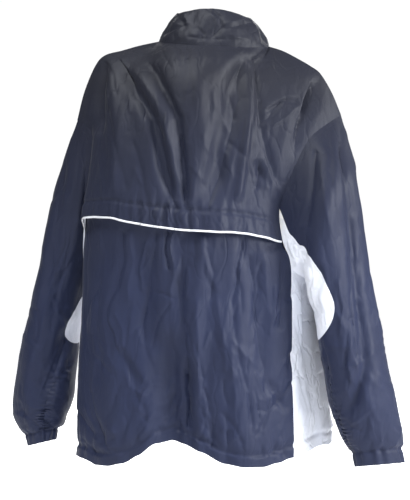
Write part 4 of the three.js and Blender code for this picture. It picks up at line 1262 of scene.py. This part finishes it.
def line_on(surface: Surface, a: Places, b: Places, facing: float) -> tuple[Array, Array]:
    """A line on a surface, with the outward direction along it.

    Args:
        surface: The surface, a function of two parameters.
        a: The first parameter along the line, or its one value.
        b: The second parameter along the line, or its one value.
        facing: 1 or -1, as for the surface's cloth.

    Returns:
        The points, and the outward directions from small steps either way.
    """
    a, b = np.broadcast_arrays(np.asarray(a, float), np.asarray(b, float))
    step = 0.004
    across = surface(a + step, b) - surface(a - step, b)
    down = surface(a, b + step * 3) - surface(a, b - step * 3)
    return surface(a, b), unit(np.cross(across, down) * facing)


# ------------------------------------------------------------------ shader graphs


class Socket:
    """A value in a shader graph. Arithmetic on it adds Math nodes."""

    def __init__(self, graph: "Graph", link: bpy.types.NodeSocket) -> None:
        """Wrap one output of a node."""
        self.graph = graph
        self.link = link

    def _math(self, operation: str, first: Any, second: Any) -> "Socket":
        """Add one Math node that works on two values."""
        return self.graph.node("ShaderNodeMath", {"operation": operation}, {0: first, 1: second})

    def __add__(self, other: Any) -> "Socket":
        """self + other."""
        return self._math("ADD", self, other)

    def __sub__(self, other: Any) -> "Socket":
        """self - other."""
        return self._math("SUBTRACT", self, other)

    def __mul__(self, other: Any) -> "Socket":
        """self * other."""
        return self._math("MULTIPLY", self, other)

    def wave(self) -> "Socket":
        """The sine of the value."""
        return self._math("SINE", self, 0.0)

    def size(self) -> "Socket":
        """The value without its sign."""
        return self._math("ABSOLUTE", self, 0.0)


class Graph:
    """The shader graph of one material."""

    def __init__(self, name: str) -> None:
        """Start a material with nothing in its graph but the output."""
        self.material = bpy.data.materials.new(name)
        self.material.use_nodes = True
        self.tree = self.material.node_tree
        self.tree.nodes.clear()

    def node(self, kind: str, settings: dict[str, Any], sockets: dict[Any, Any], output: Any = 0) -> Socket:
        """Add one node.

        Args:
            kind: The node's type.
            settings: Its own settings, set before its sockets. "stops" fills a ramp.
            sockets: A value or a link for each input, by name or number.
            output: The output to return, by name or number.

        Returns:
            The chosen output.
        """
        made = self.tree.nodes.new(kind)
        for key, value in settings.items():
            if key == "stops":
                self._fill_ramp(made.color_ramp, value)
            else:
                setattr(made, key, value)
        for key, value in sockets.items():
            if isinstance(value, Socket):
                self.tree.links.new(value.link, made.inputs[key])
            else:
                made.inputs[key].default_value = value
        return Socket(self, made.outputs[output])

    @staticmethod
    def _fill_ramp(ramp: bpy.types.ColorRamp, stops: Sequence[tuple[float, float]]) -> None:
        """Set a grey ramp's stops from places and brightnesses."""
        while len(ramp.elements) < len(stops):
            ramp.elements.new(0.5)
        for element, (place, grey) in zip(ramp.elements, stops):
            element.position = place
            element.color = (grey, grey, grey, 1)

    def noise(self, place: Socket, scale: float, detail: float = 3.0, rough: float = 0.5) -> Socket:
        """Smooth noise from 0 to 1 at a place."""
        sockets = {"Vector": place, "Scale": scale, "Detail": detail, "Roughness": rough}
        return self.node("ShaderNodeTexNoise", {}, sockets, "Fac")

    def ramp(self, value: Socket, *stops: tuple[float, float]) -> Socket:
        """Read a value through a grey ramp."""
        return self.node("ShaderNodeValToRGB", {"stops": stops}, {"Fac": value}, "Color")

    def mix(self, factor: Any, first: Any, second: Any) -> Socket:
        """Mix two colours."""
        settings = {"data_type": "RGBA"}
        return self.node("ShaderNodeMix", settings, {0: factor, 6: first, 7: second}, 2)

    def creased(self, place: Socket, scale: float, width: float) -> Socket:
        """Crisp winding lines, 0 on a line and 1 away from it, where noise is a half."""
        return self.ramp((self.noise(place, scale, 2.0) - 0.5).size(), (0.0, 0.0), (width, 1.0))

    def part_of(self, place: Socket, axis: str) -> Socket:
        """One coordinate of a place."""
        return self.node("ShaderNodeSeparateXYZ", {}, {0: place}, axis)

    def place(self) -> Socket:
        """Where the surface lies on the object, in metres."""
        return self.node("ShaderNodeTexCoord", {}, {}, "Object")

    def cloth_place(self) -> Socket:
        """Where the surface lies on its own cut piece, in metres."""
        return self.node("ShaderNodeUVMap", {"uv_map": "cloth"}, {})

    def stretched(self, place: Socket, x: float, y: float, z: float) -> Socket:
        """A place scaled along each axis."""
        settings = {"operation": "MULTIPLY"}
        return self.node("ShaderNodeVectorMath", settings, {0: place, 1: (x, y, z)})

    def drawn_down(self, place: Socket, share: float) -> Socket:
        """A place scaled in height only, so that a pattern on it is drawn out downwards."""
        return self.stretched(place, 1.0, 1.0, share)

    def weave(self, cloth: Socket) -> Socket:
        """The over and under of a plain weave, on a cut piece's own map."""
        across, down = self.part_of(cloth, "X"), self.part_of(cloth, "Y")
        return (across * WEAVE_TURNS).wave() * (down * WEAVE_TURNS).wave()

    def bump(
        self, height: Socket, distance: float, strength: float, under: Optional[Socket] = None
    ) -> Socket:
        """Tilt the surface by a height, on top of another bump if one is given."""
        sockets: dict[Any, Any] = {"Height": height, "Distance": distance, "Strength": strength}
        if under is not None:
            sockets["Normal"] = under
        return self.node("ShaderNodeBump", {}, sockets)

    def finish(self, **sockets: Any) -> bpy.types.Material:
        """Close the graph with the surface shader and its sockets."""
        named = {key.replace("_", " ").title().replace("Ior", "IOR"): value for key, value in sockets.items()}
        shader = self.node("ShaderNodeBsdfPrincipled", {}, named)
        output = self.tree.nodes.new("ShaderNodeOutputMaterial")
        self.tree.links.new(shader.link, output.inputs["Surface"])
        return self.material


Colour = tuple[float, float, float, float]

# The turning of the weave's sine in a metre of cloth, in radians.
WEAVE_TURNS = 9000.0


@dataclass(frozen=True)
class Finish:
    """A finish that pieces share. The material is made once, when first asked for."""

    name: str
    slot: str

    def material(self) -> bpy.types.Material:
        """The finish's material."""
        found = bpy.data.materials.get(self.name)
        return found if found is not None else self.make(Graph(self.name))

    def make(self, graph: Graph) -> bpy.types.Material:
        """Build the material. Each kind of finish does this its own way."""
        raise NotImplementedError


@dataclass(frozen=True)
class ShellCloth(Finish):
    """Thin close-woven polyester with a soft sheen.

    Attributes:
        upper: The colour at the shoulders, painted darker and greyer there as painted shade.
        lower: The colour at the hem, painted lighter and a little bluer as painted light from below.
        roughness: How dull the sheen is.
        specular: How strong it is.
        crinkle: How deep the small crinkles are, in metres.
        stain: The colour of the soft marks, and how strong they are in alpha.
    """

    upper: Colour = (0.0115, 0.0122, 0.019, 1)
    lower: Colour = (0.0165, 0.022, 0.053, 1)
    roughness: float = 0.54
    specular: float = 0.22
    crinkle: float = 0.0012
    stain: Colour = (0.02, 0.022, 0.035, 0.25)

    def make(self, graph: Graph) -> bpy.types.Material:
        """Colour by height as painted light and shade, a fine weave, small crinkles and a patchy sheen."""
        place, cloth = graph.place(), graph.cloth_place()
        height = graph.part_of(place, "Z")
        # Painted light and shade: darker and greyer towards the shoulders, lighter and bluer towards the hem,
        # as the light falls.
        low = graph.ramp(height * -1.35, (0.10, 0.0), (0.62, 1.0))
        colour = graph.mix(low, self.upper, self.lower)
        patch = graph.noise(graph.drawn_down(place, 0.45), 9.0, 2.0)
        marked = graph.ramp(patch, (0.42, 0.0), (0.72, self.stain[3]))
        colour = graph.mix(marked, colour, self.stain[:3] + (1,))
        weave = graph.weave(cloth)
        rib = (graph.part_of(cloth, "Y") * 4200.0).wave()
        crinkles = graph.noise(graph.drawn_down(place, 0.35), 55.0, 4.0, 0.55)
        lines = graph.creased(graph.drawn_down(place, 0.4), 24.0, 0.05)
        slubs = graph.noise(graph.stretched(cloth, 60.0, 900.0, 1.0), 1.0, 1.0)
        normal = graph.bump(crinkles + lines * 0.7, self.crinkle, 0.5)
        normal = graph.bump(weave + rib * 0.5 + slubs * 0.8, 0.00004, 0.5, normal)
        dull = graph.noise(graph.drawn_down(place, 0.5), 26.0, 3.0)
        rough = dull * 0.14 + (self.roughness - 0.07)
        return graph.finish(
            base_color=colour,
            roughness=rough,
            normal=normal,
            specular_IOR_level=self.specular,
            sheen_weight=0.05,
            sheen_roughness=0.4,
        )


@dataclass(frozen=True)
class PanelCloth(Finish):
    """Thin white polyester, a little grey in patches and marked at one tip.

    Attributes:
        colour: The main colour.
        shade: The colour of the greyer patches.
        mark: The colour of the stain.
        tip: The middle of the stain in metres, the upper end of the right gusset.
    """

    colour: Colour = (0.80, 0.81, 0.86, 1)
    shade: Colour = (0.66, 0.685, 0.76, 1)
    mark: Colour = (0.70, 0.62, 0.42, 1)
    tip: tuple[float, float, float] = (0.124, -0.075, -0.312)

    def make(self, graph: Graph) -> bpy.types.Material:
        """White with a faint grey cast, a stain round the tip, weave and crinkles."""
        place, cloth = graph.place(), graph.cloth_place()
        patch = graph.noise(graph.drawn_down(place, 0.4), 16.0, 3.0)
        colour = graph.mix(graph.ramp(patch, (0.38, 0.0), (0.75, 0.7)), self.colour, self.shade)
        ends = {0: place, 1: self.tip}
        away = graph.node("ShaderNodeVectorMath", {"operation": "DISTANCE"}, ends, "Value")
        near = graph.ramp(away * 10.0, (0.08, 0.8), (0.55, 0.0))
        blotch = graph.ramp(graph.noise(place, 60.0, 3.0), (0.35, 0.3), (0.65, 1.0))
        colour = graph.mix(near * blotch, colour, self.mark)
        weave = graph.weave(cloth)
        crinkles = graph.noise(graph.drawn_down(place, 0.5), 60.0, 4.0, 0.55)
        lines = graph.creased(graph.drawn_down(place, 0.6), 30.0, 0.06)
        normal = graph.bump(crinkles + lines * 1.2, 0.002, 0.6)
        normal = graph.bump(weave, 0.00004, 0.5, normal)
        return graph.finish(
            base_color=colour, roughness=0.55, normal=normal, specular_IOR_level=0.3, sheen_weight=0.1
        )


@dataclass(frozen=True)
class PlainThread(Finish):
    """Sewing thread or covered cord: matte, with a twist along it.

    Attributes:
        colour: The thread's colour.
        pitch: How many turns of the twist there are in a metre.
    """

    colour: Colour = (0.02, 0.024, 0.045, 1)
    pitch: float = 900.0

    def make(self, graph: Graph) -> bpy.types.Material:
        """One colour, a little uneven, with a fine slanting twist."""
        place = graph.place()
        slant = graph.part_of(place, "X") + graph.part_of(place, "Z") * 0.6
        twist = (slant * (self.pitch * 2 * math.pi)).wave()
        uneven = graph.noise(place, 300.0, 2.0)
        dark = tuple(0.82 * c for c in self.colour[:3]) + (1.0,)
        colour = graph.mix(uneven, self.colour, dark)
        normal = graph.bump(twist, 0.0001, 0.5)
        return graph.finish(base_color=colour, roughness=0.6, normal=normal, specular_IOR_level=0.3)


@dataclass(frozen=True)
class WovenTape(Finish):
    """The zip's tape: narrow ribs along its length."""

    colour: Colour = (0.022, 0.026, 0.05, 1)

    def make(self, graph: Graph) -> bpy.types.Material:
        """Ribs and a cross weave from the tape's own map."""
        cloth = graph.cloth_place()
        rib = (graph.part_of(cloth, "X") * 7000.0).wave()
        weft = (graph.part_of(cloth, "Y") * 9000.0).wave()
        uneven = graph.noise(graph.stretched(cloth, 400.0, 90.0, 1.0), 1.0, 2.0)
        colour = graph.mix(uneven, self.colour, (0.03, 0.034, 0.06, 1))
        return graph.finish(
            base_color=colour, roughness=0.75, normal=graph.bump(rib + weft * 0.5, 0.00015, 0.6)
        )


@dataclass(frozen=True)
class HardFinish(Finish):
    """Moulded plastic or coated metal, rubbed a little brighter in patches.

    Attributes:
        colour: The main colour.
        worn: The colour where it is rubbed.
        metallic: 1 for metal, 0 for plastic.
        roughness: How dull it is.
    """

    colour: Colour = (0.03, 0.035, 0.06, 1)
    worn: Colour = (0.07, 0.075, 0.1, 1)
    metallic: float = 0.0
    roughness: float = 0.4

    def make(self, graph: Graph) -> bpy.types.Material:
        """Rubbed patches and fine brush lines."""
        place = graph.place()
        rubbed = graph.ramp(graph.noise(place, 420.0, 4.0), (0.48, 0.0), (0.66, 0.8))
        colour = graph.mix(rubbed, self.colour, self.worn)
        lines = graph.noise(graph.stretched(place, 9000.0, 500.0, 500.0), 1.0, 2.0)
        rough = lines * 0.18 + (self.roughness - 0.09)
        return graph.finish(
            base_color=colour,
            metallic=self.metallic,
            roughness=rough,
            normal=graph.bump(lines, 0.00002, 0.4),
        )


NAVY = ShellCloth("navy_shell", "shell_navy")
WHITE = PanelCloth("white_panel", "panel_white")
NAVY_THREAD = PlainThread("navy_thread", "shell_navy")
WHITE_THREAD = PlainThread("white_thread", "panel_white", colour=(0.7, 0.71, 0.76, 1))
PIPING = PlainThread("white_piping", "piping_white", colour=(0.86, 0.86, 0.88, 1), pitch=500.0)
TAPE = WovenTape("zip_tape_weave", "zip_tape")
TEETH = HardFinish("zip_teeth_plastic", "zip_teeth", roughness=0.42)
METAL = HardFinish(
    "zip_slider_metal",
    "zip_metal",
    colour=(0.07, 0.072, 0.08, 1),
    worn=(0.16, 0.16, 0.17, 1),
    metallic=1.0,
    roughness=0.42,
)


# ------------------------------------------------------------------ sub-assemblies


SIDEWAYS = np.array([1.0, 0, 0])


def spaced(first: float, last: float, count: int) -> Array:
    """Evenly spaced values from first to last."""
    return np.linspace(first, last, count)


def with_marks(values: Array, *marks: float) -> Array:
    """Evenly spaced values, with the nearest ones moved onto the given marks."""
    values = values.copy()
    for mark in marks:
        values[np.abs(values - mark).argmin()] = mark
    return values


def sew(
    name: str, surface: Surface, a: Places, b: Places, facing: float, thread: Finish = NAVY_THREAD
) -> None:
    """Sew one line of stitches on a surface.

    Args:
        name: The piece's name.
        surface: The surface, a function of two parameters.
        a: The first parameter along the line, or its one value.
        b: The second parameter along the line, or its one value.
        facing: 1 or -1, as for the surface's cloth.
        thread: The thread's finish.
    """
    ride(stitch_line(name, *line_on(surface, a, b, facing)), thread)


@dataclass
class BackPanels:
    """The upper back with its flap, its piping, and the lower back under it.

    Attributes:
        columns: Columns across the back.
        yoke_steps: Rows down the upper back.
        lower_steps: Rows down the lower back.
    """

    columns: int = 236
    yoke_steps: int = 168
    lower_steps: int = 192

    def build(self) -> None:
        """Make the panels, the piping and their stitching."""
        yoke_rows = spaced(0, FLAP_EDGE_ROW, self.yoke_steps)
        lower_rows = spaced(LOWER_BACK_TOP_ROW, HEM_ROW, self.lower_steps)
        self._panel("back_yoke", yoke_point, yoke_rows)
        self._panel("back_lower", lower_point, lower_rows)
        self._piping()
        across = spaced(0.008, 0.992, 700)
        zigzag = 5.42 + 0.025 * np.sin(across * 560) * bell(across, 0.52, 0.13)
        lines = (
            ("flap_casing", yoke_point, zigzag),
            ("flap_edge", yoke_point, 5.955),
            ("hem_back", lower_point, CASING_ROW),
            ("shoulders_back", yoke_point, 0.06),
        )
        for label, surface, row in lines:
            sew(f"stitches_{label}", surface, across, row, -1)

    def _panel(self, node: str, surface: Surface, rows: Array) -> None:
        """Make one panel of the back."""
        u = with_marks(spaced(0, 1, self.columns), NECK_START, NECK_END)
        sheet = ClothSheet(f"shell_{node}", surface(u[None, :], rows[:, None]), -1)
        piece = ride(sheet.build(), NAVY, node)
        sheet.declare()

    @staticmethod
    def _piping() -> None:
        """Lay the piping along the flap's edge, with a short curl down at its left end."""
        trial = spaced(0, 0.2, 120)
        seen = as_seen(lower_point(trial, np.full_like(trial, FLAP_EDGE_ROW)))[0]
        start, far = np.interp(CURL_REACH, seen, trial)
        u = spaced(start, 0.994, 420)
        edge = yoke_point(u, np.full_like(u, FLAP_EDGE_ROW))
        above = yoke_point(u, np.full_like(u, FLAP_EDGE_ROW - 0.2))
        path = edge + unit(edge - above) * (PIPING_RADIUS + 0.15)
        path = path + outward(edge) * (0.2 - SHELL_THICKNESS / 2)
        t = spaced(1, 0, 22)
        sweep = np.sin(np.minimum(1, t * 1.5) * math.pi / 2)
        under = lower_point(start + (far - start) * sweep, FLAP_EDGE_ROW + 0.34 * t**1.8)
        under = under + outward(under) * (PIPING_RADIUS + 1.2)
        curl = (under + (path[0] - under[-1]) * (1 - t[:, None]))[:-1]
        cord = round_cord("piping_flap", np.concatenate([curl, path]), PIPING_RADIUS, 12)
        ride(cord, PIPING, "yoke_piping")


@dataclass
class FrontPanel:
    """One front, from the side seam to the zip.

    Attributes:
        side: The wearer's side.
        columns: Columns across it.
        steps: Rows down it.
    """

    side: Side
    columns: int = 104
    steps: int = 236

    def build(self) -> None:
        """Make the front and its stitching at the zip and hem."""
        surface = partial(front_point, self.side)
        facing, name = -self.side.out, self.side.value
        u = with_marks(spaced(0, 1, self.columns), FRONT_NECK_START)
        rows = spaced(0, HEM_ROW, self.steps)
        sheet = ClothSheet(f"shell_front_{name}", surface(u[None, :], rows[:, None]), facing)
        piece = ride(sheet.build(), NAVY, f"front_{name}")
        sheet.declare()
        sew(f"stitches_zip_{name}", surface, 0.975, spaced(0.1, HEM_ROW - 0.1, 500), facing)
        sew(f"stitches_hem_front_{name}", surface, spaced(0.01, 0.985, 360), CASING_ROW, facing)


@dataclass
class SidePanel:
    """One white side panel, from the underarm to the hem.

    Attributes:
        side: The wearer's side.
        columns: Columns across it.
        steps: Rows down it.
    """

    side: Side
    columns: int = 44
    steps: int = 132

    def _surface(self, q: Array, v: Array) -> Array:
        """This panel's surface, with v from 0 at the underarm to 1 at the hem."""
        top = underarm_row(q)
        return side_point(self.side, q, top + (HEM_ROW - top) * v)

    def build(self) -> None:
        """Make the panel and the stitching beside its two seams and at its hem."""
        facing, name = -self.side.out, self.side.value
        q, v = spaced(0, 1, self.columns), spaced(0, 1, self.steps)
        sheet = ClothSheet(f"shell_side_{name}", self._surface(q[None, :], v[:, None]), facing)
        piece = ride(sheet.build(), WHITE, f"side_panel_{name}")
        sheet.declare()
        down, across = spaced(0.02, 0.98, 260), spaced(0.02, 0.98, 90)
        casing = (CASING_ROW - UNDERARM_ROW) / (HEM_ROW - UNDERARM_ROW)
        lines = (("back", 0.03, down), ("front", 0.97, down), ("hem", across, casing))
        for label, q, v in lines:
            sew(f"stitches_side_{label}_{name}", self._surface, q, v, facing, WHITE_THREAD)


@dataclass
class Sleeve:
    """One sleeve, its gathered cuff and its white underarm gusset.

    Attributes:
        side: The wearer's side.
        columns: Columns round the sleeve.
        steps: Rows down it.
    """

    side: Side
    columns: int = 124
    steps: int = 224

    def _sleeve(self, u: Array, v: Array) -> Array:
        """The sleeve, from one edge of the gusset round to the other."""
        half = gusset_half(v)
        return sleeve_point(self.side, (math.pi + half) * (1 - u) + (3 * math.pi - half) * u, v)

    def _gusset(self, q: Array, v: Array) -> Array:
        """The gusset, between its two edges."""
        return sleeve_point(self.side, math.pi + gusset_half(v) * (2 * np.asarray(q, float) - 1), v)

    def build(self) -> None:
        """Make the sleeve, the gusset and their stitching."""
        facing, name = self.side.out, self.side.value
        rows = with_marks(spaced(0, CUFF_ROW, self.steps), GUSSET_END)
        near = GUSSET_END * (1 - spaced(1, 0, 16) ** 2 * 0.09)
        rows = np.unique(np.round(np.concatenate([rows, near]), 5))
        u = 0.5 - 0.5 * np.cos(spaced(0, math.pi, self.columns))
        u = 0.75 * spaced(0, 1, self.columns) + 0.25 * u
        sheet = ClothSheet(f"shell_sleeve_{name}", self._sleeve(u[None, :], rows[:, None]), facing)
        piece = ride(sheet.build(), NAVY, f"sleeve_{name}")
        sheet.declare()
        q = spaced(0, 1, 64)
        rows = np.unique(np.round(np.concatenate([spaced(0, 3.05, 84), near[near > 3.05]]), 5))
        rows = np.minimum(rows, GUSSET_END - 0.004)
        sheet = ClothSheet(f"shell_gusset_{name}", self._gusset(q[None, :], rows[:, None]), facing)
        piece = ride(sheet.build(), WHITE, f"sleeve_gusset_{name}")
        sheet.declare(flat=(0.23, 0.25))
        self._sew()

    def _sew(self) -> None:
        """Sew the cuff casing, the cap seam and the seams beside the gusset."""
        facing, name = self.side.out, self.side.value
        around, down = spaced(0.01, 0.99, 260), spaced(0.05, 3.3, 220)
        lines = (
            ("cuff", around, CUFF_CASING_ROW),
            ("cap", around, 0.07),
            ("gusset_back", 0.012, down),
            ("gusset_front", 0.988, down),
        )
        for label, u, v in lines:
            sew(f"stitches_{label}_{name}", self._sleeve, u, v, facing)


@dataclass
class Collar:
    """The stand collar, open at the zip.

    Attributes:
        columns: Columns round the neck.
        steps: Rows up the collar.
    """

    columns: int = 220
    steps: int = 44

    def build(self) -> None:
        """Make the collar and the stitching at its foot and along its top."""
        angle = spaced(0.5 * math.pi, 2.5 * math.pi, self.columns)
        grid = collar_point(angle[None, :], spaced(0, 1, self.steps)[:, None])
        sheet = ClothSheet("shell_collar", grid, 1, COLLAR_THICKNESS)
        piece = ride(sheet.build(), NAVY, "collar")
        sheet.declare()
        around = spaced(0.53 * math.pi, 2.47 * math.pi, 500)
        for label, v in (("foot", 0.05), ("top", 0.955)):
            sew(f"stitches_collar_{label}", collar_point, around, v, 1)


@dataclass
class Zip:
    """The zip: two tapes, two rows of teeth, and the slider and tab that stay as solids.

    Attributes:
        pitch: The distance from one tooth to the next of the same row.
        tooth: Half width, half height and half depth of a tooth.
        tooth_offset: How far the middle of a tooth lies from the line of the zip.
        tooth_depth: How far behind the fronts' face the teeth lie.
        tape: Widths across a tape from the line of the zip.
        tape_depth: How far behind the fronts' face the tapes lie.
    """

    pitch: float = 3.1
    tooth: tuple[float, float, float] = (1.5, 0.72, 1.15)
    tooth_offset: float = 0.95
    tooth_depth: float = 3.0
    tape: tuple[float, ...] = (0.4, 4.5, 9.0, 13.2)
    tape_depth: float = 2.8

    @staticmethod
    def _middle(count: int) -> Array:
        """The line of the zip, from the hem to near the top of the collar."""
        row = spaced(HEM_ROW, 0.02, count)
        body = sum(front_point(side, np.ones_like(row), row) for side in Side)
        v = spaced(0.02, 0.8, count // 8)
        stand = sum(collar_point(np.full_like(v, turn * math.pi), v) for turn in (0.5, 2.5))
        return np.concatenate([body, stand]) / 2

    def build(self) -> None:
        """Make the tapes and the teeth, and finish the slider and its tab."""
        line = self._middle(240)
        ahead = unit(np.gradient(line, axis=0))
        out = unit(np.cross(ahead, SIDEWAYS))
        out = out * np.sign(out[:, 1:2])
        for side in Side:
            edges = np.array(self.tape) * side.out
            grid = line[:, None] - out[:, None] * self.tape_depth + edges[None, :, None] * SIDEWAYS
            sheet = ClothSheet(f"zip_tape_weave_{side.value}", grid, side.out, TAPE_THICKNESS)
            piece = ride(sheet.build(), TAPE, f"zip_tape_{side.value}")
            sheet.declare()
        self._teeth(line, ahead, out)
        for node in ("zip_slider", "zip_pull_tab"):
            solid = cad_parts[node]
            for place in solid.material_slots:
                place.material = METAL.material()
            if not solid.material_slots:
                solid.data.materials.append(METAL.material())

    def _teeth(self, line: Array, ahead: Array, out: Array) -> None:
        """Make two rows of moulded teeth that mesh along the middle."""
        runs = np.concatenate([[0], np.cumsum(np.linalg.norm(np.diff(line, axis=0), axis=1))])
        places = np.arange(2.0, runs[-1] - 9.0, self.pitch / 2)
        middle, along, up = (
            np.stack([np.interp(places, runs, values[:, k]) for k in range(3)], axis=1)
            for values in (line, ahead, out)
        )
        side = np.where(np.arange(len(places)) % 2, 1.0, -1.0)[:, None]
        half_x, half_y, half_z = self.tooth
        centre = middle - up * self.tooth_depth + SIDEWAYS * side * self.tooth_offset
        corners = np.array([(x, y, z) for x in (-1, 1) for y in (-1, 1) for z in (-1, 1)], float)
        taper = 1 - 0.35 * (corners[:, 0:1] < 0)
        points = (
            centre[:, None]
            + SIDEWAYS * (corners[:, 0:1] * half_x * side[:, None, :1])
            + unit(along)[:, None] * (corners[:, 1:2] * half_y * taper)
            + unit(up)[:, None] * (corners[:, 2:3] * half_z)
        )
        box = [(0, 1, 3, 2), (4, 6, 7, 5), (0, 4, 5, 1), (2, 3, 7, 6), (0, 2, 6, 4), (1, 5, 7, 3)]
        faces = np.arange(len(places))[:, None, None] * len(corners) + np.array(box)
        turned = np.linalg.det(np.stack([SIDEWAYS * side, along, up], axis=1)) < 0
        faces[turned] = faces[turned][:, :, ::-1]
        rows = write_mesh("zip_teeth_rows", points.reshape(-1, 3), faces.reshape(-1, 4), 30)
        ride(rows, TEETH, "zip_chain")


@dataclass(frozen=True)
class SoftLight:
    """A square soft light.

    Attributes:
        name: Its name.
        place: Where it stands, in metres.
        aim: The height on the jacket's axis that it is aimed at.
        size: The length of its side.
        power: Its power in watts.
        colour: Its colour.
    """

    name: str
    place: tuple[float, float, float]
    aim: float
    size: float
    power: float
    colour: tuple[float, float, float]


@dataclass
class Studio:
    """The pale floor, the camera at the photograph's angle and the soft lights.

    Attributes:
        floor_height: Where the floor lies, below the lowest cuff.
        floor_reach: How far the floor runs each way, in millimetres.
        picture_height: The height that the picture covers in the plane of sight.
        picture_shift: How far the picture's middle lies from the lens's, both ways.
        lights: The soft lights.
    """

    floor_height: float = -0.93
    floor_reach: float = 9000.0
    picture_height: float = 925.0
    picture_shift: tuple[float, float] = (-16.65, -1.0)
    lights: tuple[SoftLight, ...] = (
        SoftLight("key", (2.25, -1.05, 0.5), -0.45, 1.0, 108.0, (0.95, 0.97, 1.0)),
        SoftLight("top", (-0.6, -0.9, 1.6), -0.35, 0.6, 46.0, (0.93, 0.96, 1.0)),
        SoftLight("fill", (-1.7, -1.9, 0.0), -0.45, 1.0, 11.0, (0.90, 0.94, 1.0)),
        SoftLight("low", (0.9, -1.9, -0.85), -0.75, 0.9, 17.0, (0.80, 0.87, 1.0)),
        SoftLight("front", (0.3, 2.2, 0.6), -0.4, 1.8, 62.0, (1.0, 1.0, 1.0)),
    )

    def build(self) -> None:
        """Set up the floor, the sky, the lights and the camera."""
        self._floor()
        self._sky()
        for light in self.lights:
            lamp = bpy.data.lights.new(light.name, "AREA")
            lamp.shape, lamp.size = "SQUARE", light.size
            lamp.energy, lamp.color = light.power, light.colour
            self._put(light.name, lamp, Vector(light.place), Vector((0, 0, light.aim)))
        self._camera()

    @staticmethod
    def _put(name: str, data: bpy.types.ID, place: Vector, aim: Vector) -> Piece:
        """Stand a lamp or camera somewhere and turn it to its aim."""
        thing = bpy.data.objects.new(name, data)
        bpy.context.scene.collection.objects.link(thing)
        thing.location = place
        thing.rotation_euler = (aim - place).to_track_quat("-Z", "Y").to_euler()
        return thing

    def _floor(self) -> None:
        """Lay a wide pale floor."""
        reach, z = self.floor_reach, self.floor_height / MM
        corners = ((-1, -1), (1, -1), (1, 1), (-1, 1))
        points = np.array([(x * reach, y * reach, z) for x, y in corners])
        floor = write_mesh("floor", points, np.array([[0, 1, 2, 3]]))
        graph = Graph("pale_floor")
        looked_at = graph.node("ShaderNodeLightPath", {}, {}, "Is Camera Ray")
        glow = graph.mix(looked_at, (0.05, 0.05, 0.055, 1), (0.85, 0.85, 0.85, 1))
        material = graph.finish(
            base_color=(0.9, 0.9, 0.9, 1), roughness=0.9, emission_color=glow, emission_strength=1.0
        )
        floor.data.materials.append(material)

    @staticmethod
    def _sky() -> None:
        """White behind the object, and a softer even light on it."""
        world = bpy.data.worlds.new("studio")
        bpy.context.scene.world = world
        world.use_nodes = True
        nodes, links = world.node_tree.nodes, world.node_tree.links
        background = nodes["Background"]
        background.inputs["Color"].default_value = (1, 1, 1, 1)
        path = nodes.new("ShaderNodeLightPath")
        strength = nodes.new("ShaderNodeMath")
        strength.operation = "MULTIPLY_ADD"
        strength.inputs[1].default_value = 0.86
        strength.inputs[2].default_value = 0.16
        links.new(path.outputs["Is Camera Ray"], strength.inputs[0])
        links.new(strength.outputs[0], background.inputs["Strength"])

    def _camera(self) -> None:
        """Stand the camera where the photograph was taken from, level with the middle."""
        data = bpy.data.cameras.new("camera")
        data.sensor_fit, data.sensor_height = "VERTICAL", 36.0
        data.lens = data.sensor_height * SIGHT_DISTANCE / self.picture_height
        data.shift_x, data.shift_y = (shift / self.picture_height for shift in self.picture_shift)
        data.clip_end = 100.0
        middle = Vector((0, 0, EYE_HEIGHT * MM))
        camera = self._put("camera", data, middle + Vector((0, -SIGHT_DISTANCE * MM, 0)), middle)
        bpy.context.scene.camera = camera
        bpy.context.scene.view_settings.view_transform = "Standard"


def main() -> None:
    """Build the studio and every part of the jacket in order."""
    logging.basicConfig(level=logging.INFO, format="%(message)s")
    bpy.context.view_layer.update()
    Studio().build()
    BackPanels().build()
    for side in Side:
        FrontPanel(side).build()
        SidePanel(side).build()
        Sleeve(side).build()
    Collar().build()
    Zip().build()


if __name__ == "__main__":
    main()
